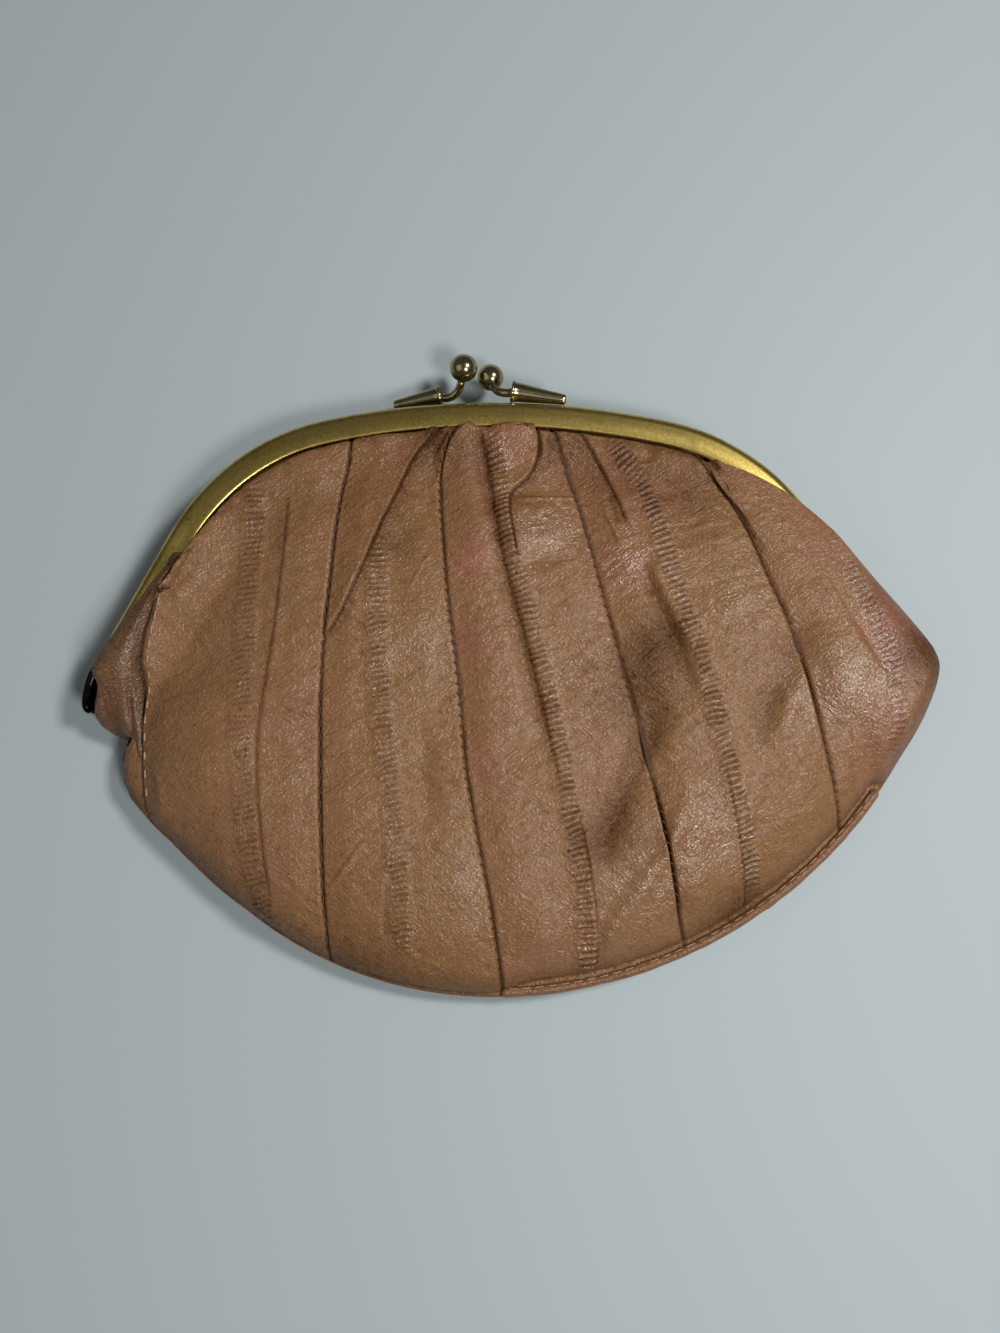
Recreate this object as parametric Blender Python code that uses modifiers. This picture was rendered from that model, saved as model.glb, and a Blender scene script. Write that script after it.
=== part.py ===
# Kiss-lock coin purse of sewn eel-skin strips on a pressed brass frame, lying on its back.
# X runs along the hinge axis, Y points to the clasp, Z points up through the front panel.
# The origin is on the table, under the middle of the hinge axis. All sizes are in metres.
import math

import bmesh
import bpy
from mathutils import Matrix, Vector

# Frame: two pressed channels that share one outline, arch at the top, straight legs to the hinge
FRAME_HEIGHT = 0.0550          # hinge axis to the top of the arch
FRAME_TOP_RADIUS = 0.1549      # shallow arch
FRAME_TOP_ANGLE = 12.5         # degrees of arch on each side of the middle
FRAME_CORNER_RADIUS = 0.0422   # tighter shoulders
FRAME_LEG_ANGLE = 61.6         # slope of the straight legs, degrees
FRAME_FOOT_RISE = 0.0042       # hinge axis to the cut end of a leg
HINGE_HEIGHT = 0.0080          # hinge axis above the table, and the parting plane of the frame
PARTING_GAP = 0.0003           # between the two closed channels
CHANNEL_DEPTH = 0.0049         # width of the visible band
CHANNEL_HEIGHT = 0.00405       # one channel, front to back
CHANNEL_WALL = 0.0005          # brass sheet
CHANNEL_ROUND = 0.0013         # outer bend of the channel

# Hinge ears and rivets
EAR_RADIUS = 0.0027
EAR_THICKNESS = 0.0007
TANG_WIDTH = 0.0023
NECK_CLEAR = 0.0010            # the tang is at its full narrowness this far before the bend
TANG_LENGTH = 0.0042
RIVET_SHANK_RADIUS = 0.0006
RIVET_HEAD_RADIUS = 0.0017
RIVET_HEAD_HEIGHT = 0.0009
RIVET_TAIL_RADIUS = 0.0012
RIVET_TAIL_HEIGHT = 0.0006
RIVET_RIM = 0.35               # share of the head's height that is an upright rim under its dome
NECK_MIDDLE = 0.6              # neck station between disc and tang: share of the way along,
NECK_WIDTH = 0.8               # half its width in ear radii,
NECK_SHIFT = 0.45              # and share of the shift from the hinge axis to the channel's middle

# Clasp: a brass trumpet on each channel, a bent wire stem and a ball
BALL_RADIUS = 0.0025
STEM_RADIUS = 0.0009
CONE_LENGTH = 0.0101
CONE_MOUTH_RADIUS = 0.0018
CONE_TIP_RADIUS = 0.00085
CONE_RECESS = 0.0015
CONE_FLARE = 1.8               # power of the trumpet's flare, 1 for a straight cone
STEM_REACH = 0.55              # length of the stem's bend, in distances from mouth to ball
STEM_LEAN = 0.35               # sideways lean of the stem where it meets the ball
STEM_ARRIVE = 0.2              # length of that last stretch, in bend lengths
FRONT_CONE_X = 0.0037          # mouth of the front cone
FRONT_BALL_X = -0.0001
FRONT_BALL_RISE = 0.0053       # ball centre above the arch
BACK_CONE_X = -0.0098
BACK_BALL_X = -0.0054
BACK_BALL_RISE = 0.0069
BALL_CROSSING = 0.0015         # each ball passes this far to the other side of the parting plane

# Leather, lining, thread and cord
LEATHER = 0.0011
LINING = 0.0005
THREAD_RADIUS = 0.00025
CRIMP_CORD_RADIUS = 0.00045
CORD_INSET_SHARE = 0.6         # cord's distance from the frame's outer edge, in band widths
CORD_END_CLEAR = 0.0080        # cord's end to the cut end of a leg
THREAD_END_CLEAR = 0.0005      # thread's end to the sewn margin
FIT = 0.0003                   # clearance between pieces that touch

# Pouch outline below the hinge
POUCH_DROP = 0.0554            # hinge axis to the lowest point of the pouch
BOTTOM_LEFT_RADIUS = 0.0730
BOTTOM_RIGHT_RADIUS = 0.0887
POUCH_PEAK = 0.0172            # crest of the front panel above the table
BOTTOM_EDGE_DROP = 0.0018      # hinge axis down to the front panel's top at the bottom edge
LEFT_EDGE_LOFT = 0.25          # share of the swelling left at the gusset's outer edge
LEFT_LOFT_END = 1.6            # full swelling from this seam number on
TOP_SWELL_RUN = 0.035          # from the frame to full swelling
TOP_LEVEL_RUN = 0.015          # from the frame's mouth to where the panel may sink below it
BOTTOM_SWELL_RUN = 0.030       # from the sewn margin to full swelling
BACK_RISE_RUN = 0.022          # width of the upturned rim of the back panel
SEAM_MARGIN = 0.0045           # flat sewn edge along the bottom
FOLD_MARGIN = 0.0005           # the same at the right corner, where the panels fold together
FOLD_RUN = 0.0080              # from the folded corner to full swelling
FOLD_START = 5.3               # the sewn edge turns into the fold from this seam number
FOLD_END = 5.6
MOUTH_CLEAR = 0.0014           # leather that has left the channel to the channel's mouth
SEAM_DIP = 0.0005              # how far a seam draws the front panel in
SEAM_DIP_WIDTH = 0.0050
CHANNEL_INSET = 0.0012         # leather edge to the outer edge of the frame
CLAMPED_RUN = 0.0056           # level strip of leather inside the channel and its mouth
OVERLAP_CLEAR = 0.0006         # leather that crosses over a channel keeps this far from it
RUN_CHANGE_START = 2.5         # left of this seam number the swell starts at the frame's mouth,
RUN_CHANGE_END = 4.0           # right of this one at the panel's own upper edge
DIP_FULL_SWELL = 0.33          # share of the swelling from which a seam is drawn in fully
SIDE_EDGE = 0.0002             # right edges of the two panels are this much higher than the bottom edges
FRONT_SIDE_TURN = 0.22         # share of the right edge over which the front panel comes down
BACK_SIDE_TURN = 0.3           # the same for the back panel
SIDE_RUN_MOST = 0.0140         # widest turned-down right edge
SIDE_RUN_LEAST = 0.0015
SIDE_RUN_SHARE = 0.85          # of the room between the right edge and the frame
EDGE_SLANT_LEAST = 0.7         # a margin is widened for a slanting strip down to this slant

# Seams, left to right. The first and last are the edges of the pouch. Their places on the frame
# are shares of the way from the middle of the arch to a cut end, and their places on the bottom
# outline are shares of the pouch's reach to that side.
SEAM_FRAME_SHARES = [-0.9295, -0.7336, -0.2683, -0.0422, 0.1025, 0.3778, 0.6693]
SEAM_BOTTOM_SHARES = [-1.0, -0.9350, -0.4387, 0.0257, 0.4260, 0.7727, 1.0]
SEAM_BOWS = [0.0015, -0.0025, -0.0041, -0.0048, 0.0026, 0.0061, 0.0015]    # sideways, mid-length
LEFT_EDGE_CLEAR = 0.0079       # left edge of the pouch to the frame's foot, sideways
RIGHT_OVERREACH = 0.0088       # how far the right corner reaches past the frame's foot
STEEPEST_EDGE_ANGLE = 78.5     # degrees on the bottom outline that an edge may not pass
LEAVE_START_SHARE = 0.4070     # the panels leave the channel between these two places on the frame
LEAVE_END_SHARE = 0.4622
LIFT_END_SHARE = 0.5075        # are level with the outside of the channel from here on
CROSS_START_SHARE = 0.5959     # and cross the band between this place and the last seam

# Binding along the lower right edge
BINDING_WALL = 0.0006
BINDING_REACH = 0.0038
BINDING_START_ANGLE = 2.5
BINDING_END_ANGLE = 52.0

# Inner pieces
FACING_EDGE = 0.0095           # lower edge of the facing above the hinge axis
LOWER_LINING_EDGE = -0.0015    # upper edge of the lower front lining
FRONT_LINING_MARGIN = 0.0070   # linings to the bottom edge; the front one reaches nearly to the
BACK_LINING_MARGIN = 0.0100    # seam, so that nothing small slips out below it
LINING_CLEAR = 0.0050          # lining to the mouth of the channel
GUSSET_WIDTH = 0.0090
GUSSET_START_CLEAR = 0.0030    # right gusset's upper end to the last seam
GUSSET_DROP = 0.0035           # how far the right gusset's free edge folds down
FACING_SEAMS = (1.5, 5.0)      # seam numbers that each inner piece runs between
LOWER_LINING_SEAMS = (1.0, 5.25)
BACK_LINING_SEAMS = (1.0, 5.0)

# Grids
SLOPE_STEP = 0.01              # step in seam number or panel share for measuring a slope
ROW_CROWDING = 1.25            # above 1, the rows of a strip crowd towards its lower edge

# Worked out from the sizes above
frontFloor = HINGE_HEIGHT + PARTING_GAP / 2
backCeiling = HINGE_HEIGHT - PARTING_GAP / 2
frontLeatherTop = frontFloor + CHANNEL_WALL + FIT + LEATHER
backLeatherBottom = 2 * HINGE_HEIGHT - frontLeatherTop
frontCordHeight = frontLeatherTop + FIT + CRIMP_CORD_RADIUS
backCordHeight = 2 * HINGE_HEIGHT - frontCordHeight
overBand = frontFloor + CHANNEL_HEIGHT + OVERLAP_CLEAR + LEATHER
underBand = backCeiling - CHANNEL_HEIGHT - OVERLAP_CLEAR - LEATHER
bottomEdgeFront = HINGE_HEIGHT - BOTTOM_EDGE_DROP
bottomEdgeBack = bottomEdgeFront - 2 * LEATHER - FIT
seamGap = 2 * THREAD_RADIUS + 2 * FIT

topAngle = math.radians(FRAME_TOP_ANGLE)
legAngle = math.radians(FRAME_LEG_ANGLE)
topCentre = Vector((0, FRAME_HEIGHT - FRAME_TOP_RADIUS))
topEnd = topCentre + FRAME_TOP_RADIUS * Vector((math.sin(topAngle), math.cos(topAngle)))
cornerCentre = topEnd - FRAME_CORNER_RADIUS * Vector((math.sin(topAngle), math.cos(topAngle)))
legNormal = Vector((math.sin(legAngle), math.cos(legAngle)))
legWay = Vector((math.cos(legAngle), -math.sin(legAngle)))
legStart = cornerCentre + FRAME_CORNER_RADIUS * legNormal
topLength = FRAME_TOP_RADIUS * topAngle
cornerLength = FRAME_CORNER_RADIUS * (legAngle - topAngle)
legLength = (legStart.y - FRAME_FOOT_RISE) / math.sin(legAngle)
halfLength = topLength + cornerLength + legLength
footX = (legStart + legLength * legWay).x


def seam_angle(share):
    # angle on the bottom outline of a place given as a share of the reach to its side
    if share < 0:
        ratio = (footX - LEFT_EDGE_CLEAR) / BOTTOM_LEFT_RADIUS
    else:
        ratio = (footX + RIGHT_OVERREACH) / BOTTOM_RIGHT_RADIUS
    return math.asin(share * min(ratio, math.sin(math.radians(STEEPEST_EDGE_ANGLE))))


seams = list(zip(SEAM_FRAME_SHARES, SEAM_BOTTOM_SHARES, SEAM_BOWS))
seamAngles = [seam_angle(share) for share in SEAM_BOTTOM_SHARES]


def clamp(x):
    return min(1.0, max(0.0, x))


def smooth(x):
    x = clamp(x)
    return x * x * (3 - 2 * x)


def quarter(x):
    # quarter of an ellipse: steep at 0, level at 1
    return math.sqrt(1 - (1 - clamp(x)) ** 2)


def mix(a, b, share):
    return a + (b - a) * share


def frame_point(travel, inset):
    # point on the frame outline: distance from the middle of the arch, and how far inside
    side = 1 if travel >= 0 else -1
    along = abs(travel)
    if along <= topLength:
        angle = along / FRAME_TOP_RADIUS
        centre, radius = topCentre, FRAME_TOP_RADIUS
    elif along <= topLength + cornerLength:
        angle = topAngle + (along - topLength) / FRAME_CORNER_RADIUS
        centre, radius = cornerCentre, FRAME_CORNER_RADIUS
    else:
        down = along - topLength - cornerLength
        point = legStart + down * legWay - inset * legNormal
        return Vector((side * point.x, point.y))
    point = centre + (radius - inset) * Vector((math.sin(angle), math.cos(angle)))
    return Vector((side * point.x, point.y))


def frame_depth(x, y):
    # how far a point lies inside the outer edge of the frame; below the feet it goes on growing
    point = Vector((abs(x), max(y, FRAME_FOOT_RISE)))
    below = max(0.0, FRAME_FOOT_RISE - y)
    fromTop = point - topCentre
    fromCorner = point - cornerCentre
    angle = math.atan2(fromCorner.x, fromCorner.y)
    if fromTop.x < math.tan(topAngle) * fromTop.y and fromCorner.y > 0:
        depth = FRAME_TOP_RADIUS - fromTop.length
    elif 0 <= angle <= legAngle:
        depth = FRAME_CORNER_RADIUS - fromCorner.length
    else:
        depth = (legStart - point).dot(legNormal)
    return depth + below


def leg_edge_x(y):
    # outer edge of the right half of the frame at a height
    if y > legStart.y:
        rise = min(y - cornerCentre.y, FRAME_CORNER_RADIUS)
        return cornerCentre.x + math.sqrt(FRAME_CORNER_RADIUS ** 2 - rise ** 2)
    return legStart.x + (legStart.y - y) / math.tan(legAngle)


def bottom_point(angle):
    # two arcs of unlike radius that meet at the lowest point
    radius = BOTTOM_LEFT_RADIUS if angle < 0 else BOTTOM_RIGHT_RADIUS
    return Vector((radius * math.sin(angle), -POUCH_DROP + radius * (1 - math.cos(angle))))


def edge_inset(along):
    leave = smooth((along - LEAVE_START_SHARE) / (LEAVE_END_SHARE - LEAVE_START_SHARE))
    cross = clamp((along - CROSS_START_SHARE) / (seams[-1][0] - CROSS_START_SHARE))
    mouth = CHANNEL_DEPTH + MOUTH_CLEAR
    return mix(CHANNEL_INSET, mouth, leave) * (1 - cross)


def seam_values(k):
    lower = min(int(k), len(seams) - 2)
    share = k - lower
    low, high = seams[lower], seams[lower + 1]
    angle = mix(seamAngles[lower], seamAngles[lower + 1], share)
    return mix(low[0], high[0], share), angle, mix(low[2], high[2], share)


def panel_ends(k):
    along, angle, _ = seam_values(k)
    return frame_point(along * halfLength, edge_inset(along)), bottom_point(angle)


def panel_xy(k, v):
    # k counts seams from left to right, v runs from the frame down to the bottom edge
    top, bottom = panel_ends(k)
    bow = seam_values(k)[2]
    point = top.lerp(bottom, v)
    return Vector((point.x + 4 * v * (1 - v) * bow, point.y))


def panel_length(k):
    top, bottom = panel_ends(k)
    return (bottom - top).length


def side_run(v):
    # width of the turned-down right edge, which stays clear of the frame
    edge = panel_xy(len(seams) - 1, v)
    room = edge.x - leg_edge_x(max(edge.y, 0))
    return min(SIDE_RUN_MOST, max(SIDE_RUN_LEAST, SIDE_RUN_SHARE * room))


def edge_sizes(k, run):
    # flat margin along the lower edge, and the distance from it to the full shape
    fold = smooth((k - FOLD_START) / (FOLD_END - FOLD_START))
    angle = seam_values(k)[1]
    way = (panel_xy(k, 1) - panel_xy(k, 1 - 2 * SLOPE_STEP)).normalized()
    slant = way.dot(Vector((math.sin(angle), -math.cos(angle))))
    return mix(SEAM_MARGIN / max(slant, EDGE_SLANT_LEAST), FOLD_MARGIN, fold), mix(run, FOLD_RUN, fold)


def seam_share(seam, other, v):
    # share of a strip's width that its edge keeps from the seam line, square to the seam
    below = panel_xy(seam, min(v + SLOPE_STEP, 1))
    above = panel_xy(seam, max(v - SLOPE_STEP, 0))
    along = (below - above).normalized()
    across = panel_xy(other, v) - panel_xy(seam, v)
    return seamGap / 2 / (across - across.dot(along) * along).length


def seam_dip(k, v):
    near = round(k)
    if not 0 < near < len(seams) - 1:
        return 0.0
    away = (panel_xy(near, v) - panel_xy(k, v)).length
    return SEAM_DIP * (1 - smooth(away / SEAM_DIP_WIDTH))


def front_height(k, v, dipped=True):
    along = seam_values(k)[0]
    length = panel_length(k)
    point = panel_xy(k, v)
    cross = smooth((along - LEAVE_END_SHARE) / (LIFT_END_SHARE - LEAVE_END_SHARE))
    topEdge = mix(frontLeatherTop, overBand, cross)
    fromFrame = frame_depth(point.x, point.y) - CHANNEL_DEPTH
    fromEdge = v * length - CLAMPED_RUN * (1 - cross)
    run = mix(fromFrame, fromEdge, smooth((k - RUN_CHANGE_START) / (RUN_CHANGE_END - RUN_CHANGE_START)))
    rise = math.sin(math.pi / 2 * clamp(run / TOP_SWELL_RUN))
    margin, fallRun = edge_sizes(k, BOTTOM_SWELL_RUN)
    fall = quarter(((1 - v) * length - margin) / fallRun)
    left = mix(LEFT_EDGE_LOFT, 1, smooth(k / LEFT_LOFT_END))
    swell = rise * fall * left
    level = smooth(v * length / (length - margin)) * smooth(fromFrame / TOP_LEVEL_RUN)
    base = mix(topEdge, bottomEdgeFront, level)
    height = base + (POUCH_PEAK - base) * swell
    if dipped:
        height -= seam_dip(k, v) * smooth(swell / DIP_FULL_SWELL)
    if k > len(seams) - 2:
        edge = mix(overBand, bottomEdgeFront + SIDE_EDGE, smooth(v / FRONT_SIDE_TURN))
        away = (panel_xy(len(seams) - 1, v) - point).length
        height = mix(edge, height, quarter(away / side_run(v)))
    return height


def back_height(k, v, dipped=True):
    # underside of the back panel: flat on the table, with an upturned rim
    along = seam_values(k)[0]
    length = panel_length(k)
    point = panel_xy(k, v)
    cross = smooth((along - LEAVE_END_SHARE) / (LIFT_END_SHARE - LEAVE_END_SHARE))
    topEdge = mix(backLeatherBottom, underBand, cross)
    fromFrame = frame_depth(point.x, point.y) - CHANNEL_DEPTH
    fromEdge = v * length - CLAMPED_RUN * (1 - cross)
    run = mix(fromFrame, fromEdge, smooth((k - RUN_CHANGE_START) / (RUN_CHANGE_END - RUN_CHANGE_START)))
    height = topEdge * (1 - smooth(run / BACK_RISE_RUN))
    margin, fallRun = edge_sizes(k, BACK_RISE_RUN)
    below = ((1 - v) * length - margin) / fallRun
    height = max(height, bottomEdgeBack * (1 - smooth(below)))
    leftAway = (panel_xy(0, v) - point).length
    leftEdge = mix(backLeatherBottom, bottomEdgeBack, v)
    height = max(height, leftEdge * (1 - smooth(leftAway / BACK_RISE_RUN)))
    if k > len(seams) - 2:
        edge = mix(underBand, bottomEdgeBack + SIDE_EDGE, smooth(v / BACK_SIDE_TURN))
        away = (panel_xy(len(seams) - 1, v) - point).length
        height = mix(edge, height, smooth(away / side_run(v)))
    return height


def surface_point(height, k, v, depth=0.0, dipped=True):
    # point on a panel's outer surface, moved along the surface normal by depth, upwards positive
    def place(kk, vv):
        flat = panel_xy(kk, vv)
        return Vector((flat.x, flat.y, height(kk, vv, dipped)))

    here = place(k, v)
    if depth == 0:
        return here
    step = SLOPE_STEP
    last = len(seams) - 1
    across = place(min(k + step, last), v) - place(max(k - step, 0), v)
    along = place(k, max(v - step, 0)) - place(k, min(v + step, 1))
    normal = across.cross(along).normalized()
    return here + normal * depth


def material(name, colour, roughness, metallic):
    made = bpy.data.materials.new(name)
    made.use_nodes = True
    shader = made.node_tree.nodes["Principled BSDF"]
    shader.inputs["Base Color"].default_value = (*colour, 1)
    shader.inputs["Roughness"].default_value = roughness
    shader.inputs["Metallic"].default_value = metallic
    made.diffuse_color = (*colour, 1)
    return made


def add_object(name, data, finish):
    made = bpy.data.objects.new(name, data)
    partCollection.objects.link(made)
    data.materials.append(finish)
    return made


def attach(child, parent):
    # keeps the child's place in the world
    bpy.context.view_layer.update()
    place = child.matrix_world.copy()
    child.parent = parent
    child.matrix_parent_inverse = parent.matrix_world.inverted()
    child.matrix_world = place


def patch(name, place, columns, rows, thickness, grow, finish):
    # open sheet over a two-way grid, given its thickness by Solidify
    mesh = bpy.data.meshes.new(name)
    sheet = bmesh.new()
    bmesh.ops.create_grid(sheet, x_segments=columns, y_segments=rows, size=0.5)
    for vert in sheet.verts:
        vert.co = place(vert.co.x + 0.5, 0.5 - vert.co.y)
    sheet.to_mesh(mesh)
    sheet.free()
    mesh.shade_smooth()
    made = add_object(name, mesh, finish)
    wall = made.modifiers.new("Thickness", "SOLIDIFY")
    wall.thickness = thickness
    wall.offset = grow
    wall.use_even_offset = False
    return made


def row_place(q, rows, length, first, last):
    # rows at even steps, with one row each at the channel mouth and at the sewn margin
    start, end = first / length, 1 - last / length
    if q <= 1 / rows:
        return q * rows * start
    if q >= 1 - 1 / rows:
        return end + (q - 1 + 1 / rows) * rows * (1 - end)
    share = 1 - (1 - (q - 1 / rows) / (1 - 2 / rows)) ** ROW_CROWDING
    return start + share * (end - start)


def strip(name, height, fromSeam, toSeam, columns, rows, grow, finish):
    def place(s, q):
        k = mix(fromSeam, toSeam, s)
        for _ in range(2):
            v = row_place(q, rows, panel_length(k), CLAMPED_RUN, edge_sizes(k, 0)[0])
            low = seam_share(fromSeam, toSeam, v)
            high = seam_share(toSeam, fromSeam, v)
            k = mix(fromSeam, toSeam, mix(low, 1 - high, s))
        return surface_point(height, k, v)

    return patch(name, place, columns, rows, LEATHER, grow, finish)


def tube(name, points, radius, finish, sides=2):
    curve = bpy.data.curves.new(name, "CURVE")
    curve.dimensions = "3D"
    curve.bevel_depth = radius
    curve.bevel_resolution = sides
    curve.use_fill_caps = True
    spline = curve.splines.new("POLY")
    spline.points.add(len(points) - 1)
    for made, point in zip(spline.points, points):
        made.co = (*point, 1)
    return add_object(name, curve, finish)


def swept_profile(name, path, height, outline, finish):
    # outline is a closed list of (inward, up) pairs carried along a path in the XY plane
    shape = bpy.data.curves.new(name + "_profile", "CURVE")
    shape.dimensions = "2D"
    shape.fill_mode = "NONE"
    edge = shape.splines.new("POLY")
    edge.points.add(len(outline) - 1)
    for made, (inward, up) in zip(edge.points, outline):
        made.co = (inward, up, 0, 1)
    edge.use_cyclic_u = True
    guide = bpy.data.objects.new(name + "_profile", shape)
    guide.hide_render = True
    guide.display_type = "WIRE"
    guideCollection.objects.link(guide)
    curve = bpy.data.curves.new(name, "CURVE")
    curve.dimensions = "3D"
    curve.twist_mode = "Z_UP"
    curve.bevel_mode = "OBJECT"
    curve.bevel_object = guide
    curve.use_fill_caps = True
    spline = curve.splines.new("POLY")
    spline.points.add(len(path) - 1)
    for made, point in zip(spline.points, path):
        made.co = (point.x, point.y, height, 1)
    return add_object(name, curve, finish)


def turned(name, profile, place, finish, steps=20):
    # profile is a list of (radius, height) pairs, bottom to top, turned about local Z
    mesh = bpy.data.meshes.new(name)
    line = bmesh.new()
    verts = [line.verts.new((radius, 0, up)) for radius, up in reversed(profile)]
    for one, two in zip(verts, verts[1:]):
        line.edges.new((one, two))
    line.to_mesh(mesh)
    line.free()
    made = add_object(name, mesh, finish)
    made.matrix_world = place
    screw = made.modifiers.new("Turn", "SCREW")
    screw.axis = "Z"
    screw.steps = steps
    screw.render_steps = steps
    screw.use_merge_vertices = True
    screw.merge_threshold = 0.00001
    screw.use_smooth_shade = True
    return made


def frame_travels(end):
    # stations along the whole frame: few on the straight legs, close on the shoulders
    half = [0, topLength / 2, topLength]
    half += [topLength + cornerLength * i / 9 for i in range(1, 10)]
    half += [topLength + cornerLength + (end - topLength - cornerLength) * i / 2 for i in (1, 2)]
    return [-t for t in reversed(half[1:])] + half


def channel_outline():
    # U section, open inwards, with its two outer bends rounded
    def bend(radius, low):
        centre = CHANNEL_ROUND if low else CHANNEL_HEIGHT - CHANNEL_ROUND
        turns = [math.radians(a) for a in (0, 30, 60, 90)]
        pairs = [(CHANNEL_ROUND - radius * math.sin(a), radius * math.cos(a)) for a in turns]
        return [(x, centre - up if low else centre + up) for x, up in pairs]

    inner = CHANNEL_ROUND - CHANNEL_WALL
    outside = [(CHANNEL_DEPTH, 0)] + bend(CHANNEL_ROUND, True)
    outside += list(reversed(bend(CHANNEL_ROUND, False))) + [(CHANNEL_DEPTH, CHANNEL_HEIGHT)]
    inside = [(CHANNEL_DEPTH, CHANNEL_HEIGHT - CHANNEL_WALL)] + bend(inner, False)
    inside += list(reversed(bend(inner, True))) + [(CHANNEL_DEPTH, CHANNEL_WALL)]
    return outside + inside


def make_channel(name, height, finish):
    path = [frame_point(t, 0) for t in frame_travels(halfLength)]
    return swept_profile(name, path, height, channel_outline(), finish)


def ear_plane(isFront):
    # middle of an ear's thickness at the bend, worked out from the channel wall
    inset = CHANNEL_WALL + FIT + EAR_THICKNESS / 2
    bend = frame_point(halfLength, inset)
    stack = 0 if isFront else EAR_THICKNESS + FIT
    return Vector((bend.x - stack, bend.y))


def make_ear(name, isFront, side, finish):
    # flat disc round the hinge axis, a neck, and a tang bent to lie inside the leg's channel
    bend = ear_plane(isFront)
    channelMiddle = (PARTING_GAP + CHANNEL_HEIGHT) / 2 * (1 if isFront else -1)
    turns = [math.radians(a) for a in (78, 60, 40, 20, 0)]
    sections = [(-EAR_RADIUS * math.sin(a), EAR_RADIUS * math.cos(a), 0.0) for a in turns]
    neck = bend.y - NECK_CLEAR
    sections.append((neck * NECK_MIDDLE, EAR_RADIUS * NECK_WIDTH, channelMiddle * NECK_SHIFT))
    sections.append((neck, TANG_WIDTH / 2, channelMiddle))
    sections.append((bend.y, TANG_WIDTH / 2, channelMiddle))
    sections.append((bend.y + TANG_LENGTH, TANG_WIDTH / 2, channelMiddle))

    def place(s, q):
        along, halfWidth, middle = sections[round((1 - q) * (len(sections) - 1))]
        beyond = max(0.0, along - bend.y)
        flat = Vector((bend.x, min(along, bend.y))) - beyond * legWay
        return Vector((side * flat.x, flat.y, HINGE_HEIGHT + middle + (2 * s - 1) * halfWidth))

    made = patch(name, place, 4, len(sections) - 1, EAR_THICKNESS, 0, finish)
    return bore_ear(made, side * bend.x)


def bore_ear(ear, x):
    # hole for the rivet's shank, cut on the hinge axis
    cutter = bpy.data.meshes.new(ear.name + "_hole")
    drill = bmesh.new()
    radius = RIVET_SHANK_RADIUS + FIT
    bmesh.ops.create_cone(drill, cap_ends=True, segments=16, radius1=radius, radius2=radius,
                          depth=4 * EAR_THICKNESS)
    bmesh.ops.rotate(drill, verts=drill.verts, matrix=Matrix.Rotation(math.pi / 2, 3, "Y"))
    drill.to_mesh(cutter)
    drill.free()
    hole = bpy.data.objects.new(ear.name + "_hole", cutter)
    hole.location = (x, 0, HINGE_HEIGHT)
    hole.hide_render = True
    hole.display_type = "WIRE"
    guideCollection.objects.link(hole)
    cut = ear.modifiers.new("Rivet hole", "BOOLEAN")
    cut.operation = "DIFFERENCE"
    cut.object = hole
    return ear


def make_rivet(name, side, finish):
    # domed outer head, shank through both ears, small peened tail inside
    outer = ear_plane(True).x + EAR_THICKNESS / 2 + FIT
    inner = ear_plane(False).x - EAR_THICKNESS / 2 - FIT
    shank = outer - inner
    profile = [
        (0, -RIVET_TAIL_HEIGHT),
        (RIVET_TAIL_RADIUS * 0.75, -RIVET_TAIL_HEIGHT),
        (RIVET_TAIL_RADIUS, -RIVET_TAIL_HEIGHT / 2),
        (RIVET_TAIL_RADIUS, 0),
        (RIVET_SHANK_RADIUS, 0),
        (RIVET_SHANK_RADIUS, shank),
        (RIVET_HEAD_RADIUS, shank),
    ]
    for angle in (math.radians(a) for a in (0, 35, 65)):
        rise = RIVET_RIM + (1 - RIVET_RIM) * math.sin(angle)
        profile.append((RIVET_HEAD_RADIUS * math.cos(angle), shank + RIVET_HEAD_HEIGHT * rise))
    profile.append((0, shank + RIVET_HEAD_HEIGHT))
    turn = Matrix.Rotation(side * math.pi / 2, 4, "Y")
    place = Matrix.Translation((side * inner, 0, HINGE_HEIGHT)) @ turn
    return turned(name, profile, place, finish, steps=16)


def cone_place(x, side, height):
    # mouth of a cone that lies on the arch, its axis along the arch and pointing to the middle
    travel = FRAME_TOP_RADIUS * math.asin(x / FRAME_TOP_RADIUS)
    lift = FIT + CONE_MOUTH_RADIUS
    middle = travel + side * CONE_LENGTH / 2
    slope = -middle / FRAME_TOP_RADIUS
    seat = frame_point(travel, -lift)
    return Vector((seat.x, seat.y, height)), slope


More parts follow.
